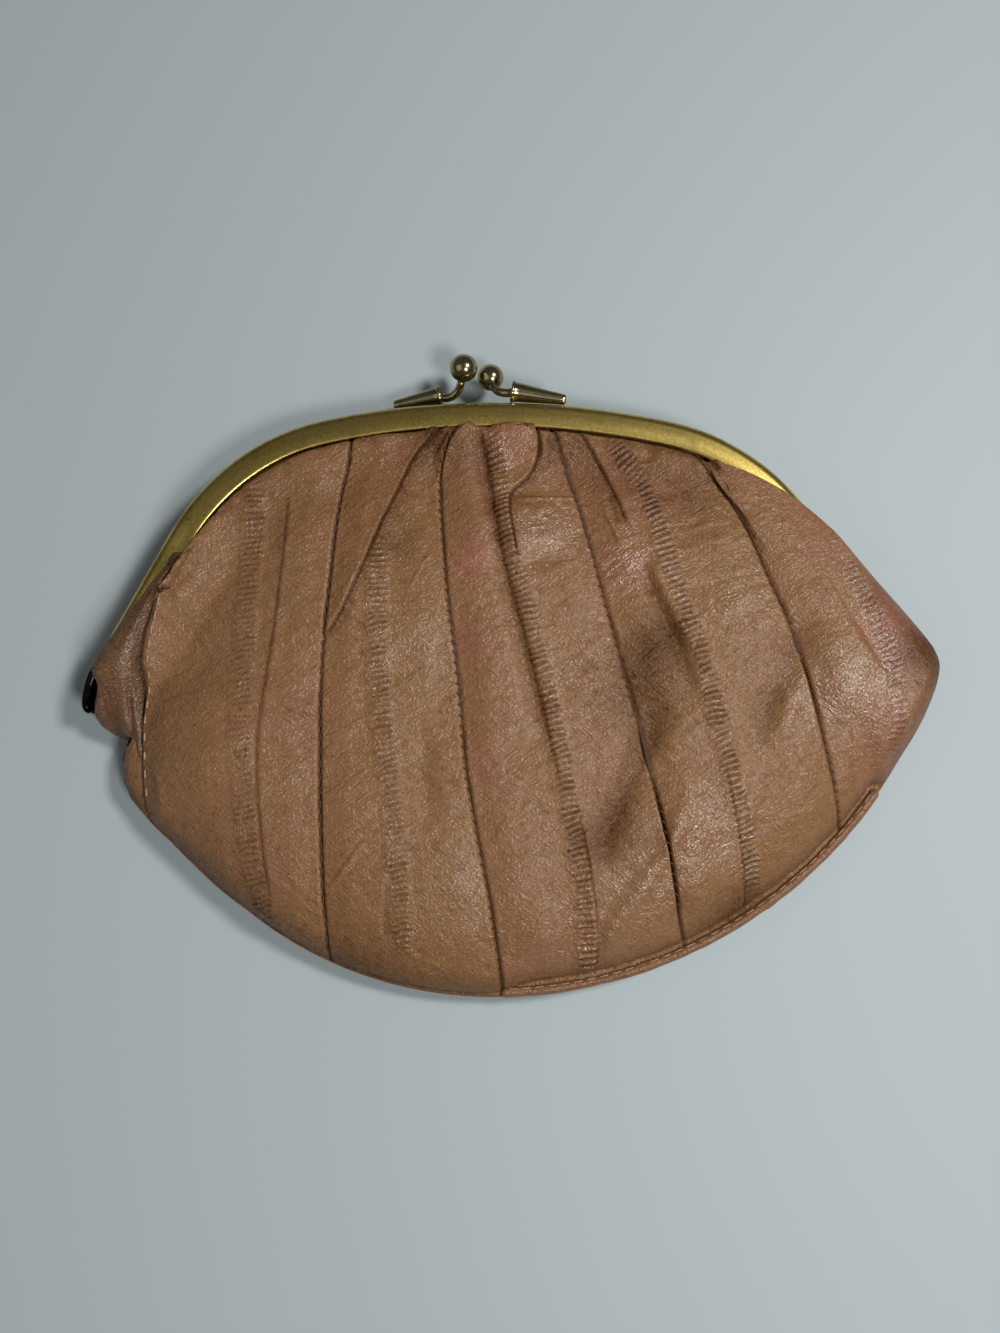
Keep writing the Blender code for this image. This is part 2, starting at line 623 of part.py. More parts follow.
def make_clasp(prefix, coneX, ballX, ballRise, side, coneHeight, ballHeight, finish):
    mouth, slope = cone_place(coneX, side, coneHeight)
    profile = [(0, 0)]
    for share in (0, 0.25, 0.5, 0.75, 1):
        radius = mix(CONE_TIP_RADIUS, CONE_MOUTH_RADIUS, share ** CONE_FLARE)
        profile.append((radius, CONE_LENGTH * share))
    profile.append((STEM_RADIUS + FIT, CONE_LENGTH))
    profile.append((STEM_RADIUS + FIT, CONE_LENGTH - CONE_RECESS))
    profile.append((0, CONE_LENGTH - CONE_RECESS))
    # the tip is lower than the mouth, so that the cone's under side lies along the arch
    tilt = math.atan((CONE_MOUTH_RADIUS - CONE_TIP_RADIUS) / CONE_LENGTH) * side
    way = Matrix.Rotation(slope, 4, "Z") @ Vector((-side, 0, 0))
    way = Matrix.Rotation(-tilt, 4, "Z") @ way
    turn = way.to_track_quat("Z", "Y").to_matrix().to_4x4()
    place = Matrix.Translation(mouth - way * CONE_LENGTH) @ turn
    cone = turned(prefix + "_clasp_cone", profile, place, finish)
    ball = Vector((ballX, FRAME_HEIGHT + ballRise, ballHeight))
    start = mouth - way * (CONE_RECESS - FIT)
    reach = STEM_REACH * (ball - mouth).length
    rise = Vector((-STEM_LEAN * side, 1, 0)).normalized()
    route = [start]
    for i in range(1, 10):
        share = i / 9
        one = mouth.lerp(mouth + way * reach, share)
        two = (mouth + way * reach).lerp(ball - rise * reach * STEM_ARRIVE, share)
        route.append(one.lerp(two, share).lerp(two.lerp(ball, share), share))
    stop = BALL_RADIUS + FIT
    route = [p for p in route if (p - ball).length > stop + STEM_RADIUS]
    last = (route[-1] - ball).normalized() * stop + ball
    route.append(last)
    stem = tube(prefix + "_clasp_stem", route, STEM_RADIUS, finish)
    mesh = bpy.data.meshes.new(prefix + "_clasp_ball")
    sphere = bmesh.new()
    bmesh.ops.create_uvsphere(sphere, u_segments=18, v_segments=12, radius=BALL_RADIUS)
    sphere.to_mesh(mesh)
    sphere.free()
    mesh.shade_smooth()
    knob = add_object(prefix + "_clasp_ball", mesh, finish)
    knob.location = ball
    pivot = bpy.data.objects.new(prefix + "_ball_arm", None)
    pivot.location = mouth
    partCollection.objects.link(pivot)
    attach(stem, pivot)
    attach(knob, pivot)
    return cone, pivot


def make_thread(name, height, seam, inward, finish):
    # runs in the groove between two strips, below their outer surface
    length = panel_length(seam)
    first = mouth_v(seam)
    last = 1 - (SEAM_MARGIN + THREAD_END_CLEAR) / length
    count = 18
    depth = inward * LEATHER / 2
    points = [surface_point(height, seam, mix(first, last, i / count), depth)
              for i in range(count + 1)]
    return tube(name, points, THREAD_RADIUS, finish, sides=1)


def lining_depth():
    return LEATHER + SEAM_DIP + FIT


def mouth_v(k):
    # how far down a panel line the lining and the threads may start, clear of the channel
    length = panel_length(k)
    v = CHANNEL_DEPTH / length
    while frame_depth(*panel_xy(k, v)) < CHANNEL_DEPTH + LINING_CLEAR:
        v += 0.0005 / length
    return v


def make_lining(name, height, between, upperEdge, lowerEdge, margin, columns, rows, inward, finish):
    # follows the inside of a panel between two heights above the hinge axis; where a height is
    # None it starts at the channel's mouth, or ends at the margin above the bottom edge
    def place(s, q):
        k = mix(between[0], between[1], s)
        top, bottom = panel_ends(k)
        fall = top.y - bottom.y
        start = mouth_v(k)
        end = 1 - margin / panel_length(k)
        if upperEdge is not None:
            start = max(start, (top.y - upperEdge) / fall)
        if lowerEdge is not None:
            end = (top.y - lowerEdge) / fall
        return surface_point(height, k, mix(start, end, q), inward * lining_depth(), dipped=False)

    return patch(name, place, columns, rows, LINING, inward, finish)


def make_gusset_fold(name, finish):
    # right side piece: clamped in the front channel's leg, it folds down inside the pouch
    startTravel = seams[-1][0] * halfLength + GUSSET_START_CLEAR
    endTravel = -seams[0][0] * halfLength
    level = frontLeatherTop

    def place(s, q):
        travel = mix(endTravel, startTravel, 1 - q)
        inset = mix(CHANNEL_INSET, GUSSET_WIDTH, s)
        flat = frame_point(travel, inset)
        fold = smooth((inset - CHANNEL_DEPTH - FIT) / (GUSSET_WIDTH - CHANNEL_DEPTH))
        return Vector((flat.x, flat.y, level - GUSSET_DROP * fold))

    return patch(name, place, 5, 8, LEATHER, 1, finish)


def make_binding(name, finish):
    # folded strip round both panels' edges, U section open inwards
    reach = BINDING_REACH
    wall = BINDING_WALL
    low = bottomEdgeBack - FIT - wall
    high = bottomEdgeFront + FIT + wall
    outline = [(reach, 0), (0, 0), (0, high - low), (reach, high - low),
               (reach, high - low - wall), (wall, high - low - wall), (wall, wall), (reach, wall)]
    grow = FIT + wall
    path = []
    for i in range(15):
        angle = math.radians(mix(BINDING_END_ANGLE, BINDING_START_ANGLE, i / 14))
        point = bottom_point(angle)
        path.append(point + grow * Vector((math.sin(angle), -math.cos(angle))))
    return swept_profile(name, path, low, outline, finish)


for old in list(bpy.data.objects):
    bpy.data.objects.remove(old)
partCollection = bpy.data.collections.new("coin_purse")
guideCollection = bpy.data.collections.new("cutters")
bpy.context.scene.collection.children.link(partCollection)
bpy.context.scene.collection.children.link(guideCollection)

bandBrass = material("band_brass", (0.62, 0.46, 0.20), 0.32, 1.0)
claspBrass = material("clasp_brass", (0.78, 0.62, 0.32), 0.18, 1.0)
blackenedBrass = material("blackened_brass", (0.03, 0.03, 0.03), 0.25, 0.8)
pinkBrownLeather = material("pink_brown_leather", (0.25, 0.13, 0.10), 0.35, 0.0)
oliveLeather = material("olive_leather", (0.26, 0.17, 0.08), 0.35, 0.0)
mauveLeather = material("mauve_leather", (0.28, 0.14, 0.13), 0.32, 0.0)
gussetLeather = material("gusset_leather", (0.24, 0.12, 0.09), 0.38, 0.0)
liningFabric = material("lining_fabric", (0.10, 0.05, 0.04), 0.9, 0.0)
threadBrown = material("thread_brown", (0.05, 0.025, 0.015), 0.8, 0.0)
paperCord = material("paper_cord", (0.45, 0.36, 0.24), 0.9, 0.0)

hinge = bpy.data.objects.new("frame_hinge", None)
hinge.location = (0, 0, HINGE_HEIGHT)
partCollection.objects.link(hinge)

# Frame halves, their cords, ears and rivets
frontChannel = make_channel("front_frame_channel", frontFloor, bandBrass)
make_channel("back_frame_channel", backCeiling - CHANNEL_HEIGHT, bandBrass)
cordEnd = halfLength - CORD_END_CLEAR
cordInset = CHANNEL_DEPTH * CORD_INSET_SHARE
cordPath = [frame_point(t, cordInset) for t in frame_travels(cordEnd)]
frontCord = tube("front_crimp_cord", [(*p, frontCordHeight) for p in cordPath],
                 CRIMP_CORD_RADIUS, paperCord)
tube("back_crimp_cord", [(*p, backCordHeight) for p in cordPath], CRIMP_CORD_RADIUS, paperCord)
frontMovers = [frontChannel, frontCord]
for sideName, side in (("left", -1), ("right", 1)):
    frontMovers.append(make_ear("front_hinge_ear_" + sideName, True, side, blackenedBrass))
    make_ear("back_hinge_ear_" + sideName, False, side, blackenedBrass)
    make_rivet("hinge_rivet_" + sideName, side, blackenedBrass)

# Clasp halves
channelMiddle = (PARTING_GAP + CHANNEL_HEIGHT) / 2
frontCone, frontPivot = make_clasp(
    "front", FRONT_CONE_X, FRONT_BALL_X, FRONT_BALL_RISE, 1,
    HINGE_HEIGHT + channelMiddle, HINGE_HEIGHT - BALL_CROSSING, claspBrass)
frontMovers += [frontCone, frontPivot]
make_clasp(
    "back", BACK_CONE_X, BACK_BALL_X, BACK_BALL_RISE, -1,
    HINGE_HEIGHT - channelMiddle, HINGE_HEIGHT + BALL_CROSSING, claspBrass)

# Leather panels
stripLeathers = [pinkBrownLeather, oliveLeather, mauveLeather, oliveLeather, mauveLeather]
strip("left_gusset", front_height, 0, 1, 3, 12, -1, gussetLeather)
for number, leather in enumerate(stripLeathers, start=1):
    last = number == len(stripLeathers)
    strip(f"front_strip_{number}", front_height, number, number + 1, 8 if last else 5,
          18, -1, leather)
    strip(f"back_strip_{number}", back_height, number if number > 1 else 0, number + 1,
          8 if last or number == 1 else 4, 16, 1, leather)
make_gusset_fold("right_gusset", gussetLeather)
make_binding("edge_binding", oliveLeather)

# Seam threads
for seam in range(1, 6):
    make_thread(f"front_seam_thread_{seam}", front_height, seam, -1, threadBrown)
for seam in range(2, 6):
    make_thread(f"back_seam_thread_{seam - 1}", back_height, seam, 1, threadBrown)

# Linings
facing = make_lining("front_lining_facing", front_height, FACING_SEAMS, None, FACING_EDGE,
                     FRONT_LINING_MARGIN, 14, 7, -1, liningFabric)
frontMovers.append(facing)
make_lining("front_lining", front_height, LOWER_LINING_SEAMS, LOWER_LINING_EDGE, None,
            FRONT_LINING_MARGIN, 17, 9, -1, liningFabric)
make_lining("back_lining", back_height, BACK_LINING_SEAMS, None, None,
            BACK_LINING_MARGIN, 16, 16, 1, liningFabric)

for mover in frontMovers:
    attach(mover, hinge)
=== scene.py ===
import math
import bpy
import numpy as np
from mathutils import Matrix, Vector


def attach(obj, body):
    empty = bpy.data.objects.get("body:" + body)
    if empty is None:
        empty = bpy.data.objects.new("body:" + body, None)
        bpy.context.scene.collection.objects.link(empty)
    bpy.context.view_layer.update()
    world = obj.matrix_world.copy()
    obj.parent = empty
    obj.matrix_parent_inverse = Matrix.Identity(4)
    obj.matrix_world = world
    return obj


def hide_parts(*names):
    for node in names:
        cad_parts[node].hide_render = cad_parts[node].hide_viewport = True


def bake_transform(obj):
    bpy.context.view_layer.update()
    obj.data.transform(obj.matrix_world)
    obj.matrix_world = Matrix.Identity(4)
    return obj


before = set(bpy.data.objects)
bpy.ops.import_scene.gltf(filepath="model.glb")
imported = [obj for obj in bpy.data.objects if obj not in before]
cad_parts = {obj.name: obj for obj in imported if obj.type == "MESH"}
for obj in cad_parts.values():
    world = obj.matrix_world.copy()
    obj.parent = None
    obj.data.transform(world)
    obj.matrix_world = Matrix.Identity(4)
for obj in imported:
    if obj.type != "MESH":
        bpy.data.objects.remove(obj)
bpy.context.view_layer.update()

pi = math.pi
mm = 0.001  # the purse lies on its back: x along the hinge, y to the clasp, z up, in metres

# Outline and heights of the purse, shared by every piece
purse = {
    # frame: a shallow arch, two shoulders and two straight legs of folded sheet, in degrees and millimetres
    "frameHeight": 55.0 * mm, "topRadius": 154.9 * mm, "topAngle": 12.5, "cornerRadius": 42.2 * mm,
    "legAngle": 61.6, "footRise": 4.2 * mm, "bandWidth": 4.9 * mm, "channelHeight": 4.05 * mm,
    "brassSheet": 0.5 * mm, "hingeHeight": 8.0 * mm, "partingGap": 0.3 * mm,
    # the left half bent inwards: how much, from where and over what run
    "leftBent": 1.6 * mm, "bentFrom": -12 * mm, "bentRun": 42 * mm,
    # pouch: the two arcs of its bottom edge, the leather and its heights
    "drop": 55.4 * mm, "bottomLeftRadius": 73.0 * mm, "bottomRightRadius": 88.7 * mm,
    "leftEdgeClear": 7.9 * mm, "rightOverreach": 8.8 * mm, "steepestEdge": 78.5,
    "fit": 0.3 * mm, "leather": 1.1 * mm, "overlapClear": 0.2 * mm, "peak": 17.2 * mm,
    "bottomEdgeDrop": 1.8 * mm,
    # seams: shares of half the frame and of the bottom arcs, the sideways bow, and the dip along them
    "seamOnFrame": [-0.9295, -0.7336, -0.2683, -0.0422, 0.1025, 0.3778, 0.6693],
    "seamOnBottom": [-1.0, -0.9350, -0.4387, 0.0257, 0.4260, 0.7727, 1.0],
    "seamBow": [1.5 * mm, -2.5 * mm, -4.1 * mm, -4.8 * mm, 2.6 * mm, 6.1 * mm, 1.5 * mm],
    "seamDip": 0.7 * mm, "seamDipWidth": 6 * mm, "dipFullSwell": 0.33,
    # swell of the front, lower at the left end, and the rise of the back from the table
    "topSwellRun": 35 * mm, "topLevelRun": 15 * mm, "bottomSwellRun": 30 * mm, "backRiseRun": 22 * mm,
    "leftLoft": 0.25, "leftLoftEnd": 1.6,
    # bottom edge: margins that stay level, wider where it is bound, and narrow again at the right end
    "seamMargin": 4.5 * mm, "edgeMargin": 0.8 * mm, "boundMargin": 2.6 * mm, "boundFrom": 2.9,
    "boundOver": 0.3,
    "foldMargin": 0.5 * mm, "foldStart": 5.24, "foldEnd": 5.36,
    "foldRun": 8 * mm, "foldRunFrom": 4.9, "foldRunOver": 1.1,
    # right side: where the leather leaves the mouth and lies on the band, and the run of its turned edge
    "mouth": 6.8 * mm, "leaveEnd": 0.425, "liftEnd": 0.455, "puffStart": 0.25, "puffRun": 2.6 * mm,
    "puffClear": 0.5 * mm, "runChangeStart": 2.5, "runChangeEnd": 4.0,
    "sideEdge": 0.2 * mm, "frontSideTurn": 0.22, "backSideTurn": 0.3,
    "sideRunMost": 14 * mm, "sideRunLeast": 1.5 * mm, "sideRunShare": 0.85, "slantLeast": 0.7,
    # the right corner, where the front comes down to the back
    "cornerFrom": 5.05, "cornerOver": 0.2, "cornerRun": 4.6 * mm, "cornerDrop": 0.5 * mm,
}

# Where the photograph was taken from, and its size in pixels
view = {"elevation": 84.0, "distance": 240 * mm, "aim": (1.49 * mm, 5.3 * mm, 8 * mm), "height": 248.7 * mm,
        "pixelsHigh": 1333, "centre": (500, 666.5)}


def photoPlace(points, height):
    # where the line of sight through each pixel meets a height above the table
    points = np.array(points, float)
    tilt = math.radians(view["elevation"])
    size = view["height"] / view["distance"] / view["pixelsHigh"]
    u, w = (points[:, 0] - view["centre"][0]) * size, (view["centre"][1] - points[:, 1]) * size
    wayY, wayZ = math.cos(tilt) + w * math.sin(tilt), w * math.cos(tilt) - math.sin(tilt)
    eye = np.array(view["aim"]) + view["distance"] * np.array([0, -math.cos(tilt), math.sin(tilt)])
    far = (height - eye[2]) / wayZ
    return eye[0] + far * u, eye[1] + far * wayY


def clamp(x):
    return np.clip(x, 0.0, 1.0)


def smooth(x):
    x = clamp(x)
    return x * x * (3 - 2 * x)


def quarter(x):  # quarter of an ellipse: steep at 0, level at 1
    return np.sqrt(1 - (1 - clamp(x)) ** 2)


def mix(a, b, share):
    return a + (b - a) * share


def nearEnd(share):
    return np.minimum(share, 1 - share)


def unit(ways):
    return ways / np.linalg.norm(ways, axis=-1, keepdims=True)


def soften(line, passes):
    # each inner value becomes the mean of its two neighbours and itself, counted twice
    for _ in range(passes):
        line[1:-1] = (line[:-2] + 2 * line[1:-1] + line[2:]) / 4
    return line


def runAlong(line):
    # distance along a line of points at each of them
    return np.concatenate([[0], np.cumsum(np.linalg.norm(np.diff(line, axis=0), axis=1))])


# Outline of the frame: a shallow arch, two tighter shoulders and two straight legs
topAngle, legAngle = math.radians(purse["topAngle"]), math.radians(purse["legAngle"])
topCentre = np.array([0.0, purse["frameHeight"] - purse["topRadius"]])
topEnd = topCentre + purse["topRadius"] * np.array([math.sin(topAngle), math.cos(topAngle)])
cornerCentre = topEnd - purse["cornerRadius"] * np.array([math.sin(topAngle), math.cos(topAngle)])
legNormal = np.array([math.sin(legAngle), math.cos(legAngle)])
legWay = np.array([math.cos(legAngle), -math.sin(legAngle)])
legStart = cornerCentre + purse["cornerRadius"] * legNormal
topLength = purse["topRadius"] * topAngle
cornerLength = purse["cornerRadius"] * (legAngle - topAngle)
legLength = (legStart[1] - purse["footRise"]) / math.sin(legAngle)
halfLength = topLength + cornerLength + legLength
footX = (legStart + legLength * legWay)[0]

frontFloor = purse["hingeHeight"] + purse["partingGap"] / 2
backCeiling = purse["hingeHeight"] - purse["partingGap"] / 2
bandTop = frontFloor + purse["channelHeight"]
frontLeatherTop = frontFloor + purse["brassSheet"] + purse["fit"] + purse["leather"]
backLeatherBottom = 2 * purse["hingeHeight"] - frontLeatherTop
overBand = bandTop + purse["overlapClear"] + purse["leather"]
underBand = 2 * purse["hingeHeight"] - overBand
bottomEdgeFront = purse["hingeHeight"] - purse["bottomEdgeDrop"]
bottomEdgeBack = bottomEdgeFront - 2 * purse["leather"] - purse["fit"]
seamCount = len(purse["seamOnFrame"])
lastSeam = seamCount - 1


def seamAngle(share):
    # turn of the bottom arc at a share of its reach: the arc sine of reach over radius, times the share
    if share < 0:
        ratio = (footX - purse["leftEdgeClear"]) / purse["bottomLeftRadius"]
    else:
        ratio = (footX + purse["rightOverreach"]) / purse["bottomRightRadius"]
    return math.asin(share * min(ratio, math.sin(math.radians(purse["steepestEdge"]))))


seamAngles = [seamAngle(share) for share in purse["seamOnBottom"]]


def leftBend(x):
    # the left half of the frame in the photograph is bent inwards a little
    return purse["leftBent"] * smooth((purse["bentFrom"] - x) / purse["bentRun"])


def framePoint(travel, inset):
    # arc, tighter arc, then a straight line, by the distance from the middle of the arch
    along = np.abs(travel)
    onTop = along / purse["topRadius"]
    onCorner = topAngle + (along - topLength) / purse["cornerRadius"]
    down = along - topLength - cornerLength
    place = []
    for axis, turn in ((0, np.sin), (1, np.cos)):
        arch = topCentre[axis] + (purse["topRadius"] - inset) * turn(onTop)
        shoulder = cornerCentre[axis] + (purse["cornerRadius"] - inset) * turn(onCorner)
        leg = legStart[axis] + down * legWay[axis] - inset * legNormal[axis]
        place.append(np.where(along <= topLength, arch, np.where(down <= 0, shoulder, leg)))
    x = np.where(travel >= 0, 1.0, -1.0) * place[0]
    return x + leftBend(x), place[1]


def frameFrom(x, y):
    # distance inside the frame's outer edge, distance along it, and the outward direction
    x = x - leftBend(x - leftBend(x))
    px, py = np.abs(x), np.maximum(y, purse["footRise"])
    tx, ty = px - topCentre[0], py - topCentre[1]
    cx, cy = px - cornerCentre[0], py - cornerCentre[1]
    angle = np.arctan2(cx, cy)
    onTop = (tx < math.tan(topAngle) * ty) & (cy > 0)
    onCorner = (angle >= 0) & (angle <= legAngle) & ~onTop
    toLeg = (legStart[0] - px) * legNormal[0] + (legStart[1] - py) * legNormal[1]
    down = (px - legStart[0]) * legWay[0] + (py - legStart[1]) * legWay[1]
    fromTop, fromCorner = np.hypot(tx, ty), np.hypot(cx, cy)
    depth = np.where(onTop, purse["topRadius"] - fromTop,
                     np.where(onCorner, purse["cornerRadius"] - fromCorner, toLeg))
    along = np.where(onTop, purse["topRadius"] * np.arctan2(tx, ty),
                     np.where(onCorner, topLength + purse["cornerRadius"] * (angle - topAngle),
                              topLength + cornerLength + down))
    outX = np.where(onTop, tx / fromTop, np.where(onCorner, cx / np.maximum(fromCorner, 1e-9), legNormal[0]))
    outY = np.where(onTop, ty / fromTop, np.where(onCorner, cy / np.maximum(fromCorner, 1e-9), legNormal[1]))
    side = np.where(x >= 0, 1.0, -1.0)
    return depth + np.maximum(0.0, purse["footRise"] - y), side * along / halfLength, side * outX, outY


def legEdgeX(y):
    # x of the frame's outer edge at the right: the shoulder's circle above, the straight leg below
    rise = np.clip(y - cornerCentre[1], 0, purse["cornerRadius"])
    onCorner = cornerCentre[0] + np.sqrt(purse["cornerRadius"] ** 2 - rise ** 2)
    return np.where(y > legStart[1], onCorner, legStart[0] + (legStart[1] - y) / math.tan(legAngle))


def bottomPoint(angle):
    # two arcs of unlike radius that meet at the lowest point
    radius = np.where(angle < 0, purse["bottomLeftRadius"], purse["bottomRightRadius"])
    return radius * np.sin(angle), -purse["drop"] + radius * (1 - np.cos(angle))


def seamValues(k):
    # place on the frame and turn of the bottom arc, for seam numbers and what lies between them
    numbers = np.arange(seamCount)
    return np.interp(k, numbers, purse["seamOnFrame"]), np.interp(k, numbers, seamAngles)


# The right edge leaves the channel at its mouth and crosses the band: shares along half the frame, and
# millimetres from the band's outer edge
rightEdge = {"share": [0.385, 0.405, 0.425, 0.455, 0.50, 0.558, 0.61, 0.656, 0.6693],
             "inset": [1.2, 3.4, 5.1, 4.9, 3.9, 2.7, 1.5, 0.5, 0.1]}


def edgeInset(along):
    return np.interp(along, rightEdge["share"], rightEdge["inset"]) * mm


def panelEnds(k):
    # upper end on the frame and lower end on the bottom edge
    along, angle = seamValues(k)
    return (*framePoint(along * halfLength, edgeInset(along)), *bottomPoint(angle))


# The seams as the photograph shows them, in pixels from the frame down. The first and last edge of the
# panel have no line here and follow seamBow.
seamLines = [
    [],
    [(170, 580), (174, 600), (168, 620), (160, 640), (152, 665), (146, 690), (142, 720), (142, 760),
     (144, 792)],
    [(350, 465), (342, 490), (338, 515), (334, 540), (329, 590), (323, 640), (320, 700), (320, 780),
     (323, 890), (327, 940)],
    [(455, 440), (446, 452), (441, 470), (440, 490), (443, 540), (448, 600), (457, 670), (466, 770),
     (478, 840), (490, 900), (499, 960)],
    [(555, 445), (568, 475), (583, 520), (593, 555), (603, 595), (620, 655), (638, 718), (655, 790),
     (670, 860), (679, 920)],
    [(705, 470), (730, 500), (750, 535), (770, 580), (793, 630), (811, 690), (824, 740), (834, 785),
     (838, 815)],
    [],
]
# Height of the crown from the bottom edge to the frame, and the guesses for seams, lines and patches
crown = {"y": [-55 * mm, -45 * mm, -20 * mm, 20 * mm, 45 * mm, 52 * mm],
         "height": [6 * mm, 12 * mm, 17 * mm, 16.5 * mm, 11.5 * mm, 10 * mm],
         "seam": 12 * mm, "line": 14 * mm, "patch": 15 * mm}
# The pouch's lower left corner reaches further out than the arc: millimetres by panel number
corner = {"panel": [0, 0.25, 0.5, 0.75, 1, 1.15, 1.3, 1.6], "right": [0, -1.9, -2.9, -2.8, 0, 0, 0, 0],
          "up": [1.6, 0, -1.7, -2.6, -5.0, -2.6, -1.3, 0], "start": 0.6}
sidesteps = 100
shares = np.linspace(0, 1, sidesteps + 1)
sideways = 4 * shares * (1 - shares) * np.array(purse["seamBow"])[:, None]


def straightPlace(k, v):
    # on the straight line from the frame to the bottom edge
    topX, topY, lowX, lowY = panelEnds(k)
    lower = smooth((v - corner["start"]) / (1 - corner["start"])) * mm
    return (mix(topX, lowX, v) + lower * np.interp(k, corner["panel"], corner["right"]),
            mix(topY, lowY, v) + lower * np.interp(k, corner["panel"], corner["up"]))


def panelPlace(k, v):
    # the same, moved sideways as the seams run
    k, v = np.broadcast_arrays(np.asarray(k, float), np.asarray(v, float))
    x, y = straightPlace(k, v)
    i = np.clip(np.floor(k).astype(int), 0, lastSeam - 1)
    j = np.clip(np.floor(v * sidesteps).astype(int), 0, sidesteps - 1)
    a, b = k - i, v * sidesteps - j
    before = mix(sideways[i, j], sideways[i, j + 1], b)
    after = mix(sideways[i + 1, j], sideways[i + 1, j + 1], b)
    return x + mix(before, after, a), y


def panelLength(k):
    topX, topY, lowX, lowY = panelEnds(k)
    return np.hypot(topX - lowX, topY - lowY)


def edgeSizes(k, margin, run):
    # level margin at the bottom edge and the run of the slope above it. The margin is measured square
    # to the edge, and so is divided by the slant at which the panel's lines meet it.
    nearly = 0.98
    fold = smooth((k - purse["foldStart"]) / (purse["foldEnd"] - purse["foldStart"]))
    angle = seamValues(k)[1]
    x1, y1 = panelPlace(k, 1.0)
    x0, y0 = panelPlace(k, nearly)
    slant = ((x1 - x0) * np.sin(angle) - (y1 - y0) * np.cos(angle)) / np.hypot(x1 - x0, y1 - y0)
    return (mix(margin / np.maximum(slant, purse["slantLeast"]), purse["foldMargin"], fold),
            mix(run, purse["foldRun"], smooth((k - purse["foldRunFrom"]) / purse["foldRunOver"])))


def sideRun(v):
    # width of the turned side at the right: a share of the room between it and the leg, within limits
    x, y = panelPlace(float(lastSeam), v)
    room = x - legEdgeX(np.maximum(y, 0))
    return np.clip(purse["sideRunShare"] * room, purse["sideRunLeast"], purse["sideRunMost"])


def runIn(k, v, x, y):
    # how far the panel has crossed onto the band, its distance from the band, and its distance from its
    # own upper edge: from the frame at the left, down the panel at the right
    along = seamValues(k)[0]
    cross = smooth((along - purse["leaveEnd"]) / (purse["liftEnd"] - purse["leaveEnd"]))
    fromFrame = frameFrom(x, y)[0] - purse["bandWidth"]
    fromEdge = v * panelLength(k) - (purse["mouth"] - edgeInset(along)) * (1 - cross)
    change = smooth((k - purse["runChangeStart"]) / (purse["runChangeEnd"] - purse["runChangeStart"]))
    return cross, fromFrame, mix(fromFrame, fromEdge, change)


def frontHeight(k, v):
    # From the upper edge's level to the bottom edge's, plus a swell up to the peak: a sine quarter down
    # from the mouth, times an elliptic quarter up from the bottom edge. Each seam is pressed in a
    # little, and the right side and corner come down in elliptic quarters.
    length = panelLength(k)
    x, y = panelPlace(k, v)
    cross, fromFrame, run = runIn(k, v, x, y)
    along = seamValues(k)[0]
    puff = smooth((along - purse["puffStart"]) / (purse["leaveEnd"] - purse["puffStart"]))
    puff = puff * smooth((fromFrame + purse["puffClear"]) / purse["puffRun"])
    topEdge = mix(frontLeatherTop, overBand, np.maximum(cross, puff))
    rise = np.sin(pi / 2 * clamp(run / purse["topSwellRun"]))
    bound = smooth((k - purse["boundFrom"]) / purse["boundOver"])
    margin = mix(purse["edgeMargin"], purse["boundMargin"], bound)
    margin, fallRun = edgeSizes(k, margin, purse["bottomSwellRun"])
    fall = quarter(((1 - v) * length - margin) / fallRun)
    left = mix(purse["leftLoft"], 1, smooth(k / purse["leftLoftEnd"]))
    swell = rise * fall * left
    level = smooth(v * length / (length - margin)) * smooth(fromFrame / purse["topLevelRun"])
    base = mix(topEdge, bottomEdgeFront, level)
    height = base + (purse["peak"] - base) * swell
    near = np.clip(np.round(k), 1, lastSeam - 1)
    nearX, nearY = panelPlace(near, v)
    dip = purse["seamDip"] * (1 - smooth(np.hypot(nearX - x, nearY - y) / purse["seamDipWidth"]))
    height = height - dip * smooth(swell / purse["dipFullSwell"])
    fromEdge = (1 - v) * length * purse["slantLeast"]
    closed = mix(bottomEdgeFront - purse["cornerDrop"], height, quarter(fromEdge / purse["cornerRun"]))
    height = mix(height, closed, smooth((k - purse["cornerFrom"]) / purse["cornerOver"]))
    edge = mix(overBand, bottomEdgeFront - purse["cornerDrop"], smooth(v / purse["frontSideTurn"]))
    lastX, lastY = panelPlace(float(lastSeam), v)
    turned = mix(edge, height, quarter(np.hypot(lastX - x, lastY - y) / sideRun(v)))
    return np.where(k > lastSeam - 1, turned, height)


def backHeight(k, v):
    # flat on the table: the highest of three rims that fall off inwards in smooth steps, and at the
    # right a turned side
    length = panelLength(k)
    x, y = panelPlace(k, v)
    cross, _, run = runIn(k, v, x, y)
    topEdge = mix(backLeatherBottom, underBand, cross)
    height = topEdge * (1 - smooth(run / purse["backRiseRun"]))
    margin, fallRun = edgeSizes(k, purse["seamMargin"], purse["backRiseRun"])
    height = np.maximum(height, bottomEdgeBack * (1 - smooth(((1 - v) * length - margin) / fallRun)))
    leftX, leftY = panelPlace(0.0, v)
    leftEdge = mix(backLeatherBottom, bottomEdgeBack, v)
    fromLeft = np.hypot(leftX - x, leftY - y)
    height = np.maximum(height, leftEdge * (1 - smooth(fromLeft / purse["backRiseRun"])))
    edge = mix(underBand, bottomEdgeBack + purse["sideEdge"], smooth(v / purse["backSideTurn"]))
    lastX, lastY = panelPlace(float(lastSeam), v)
    turned = mix(edge, height, smooth(np.hypot(lastX - x, lastY - y) / sideRun(v)))
    return np.where(k > lastSeam - 1, turned, height)


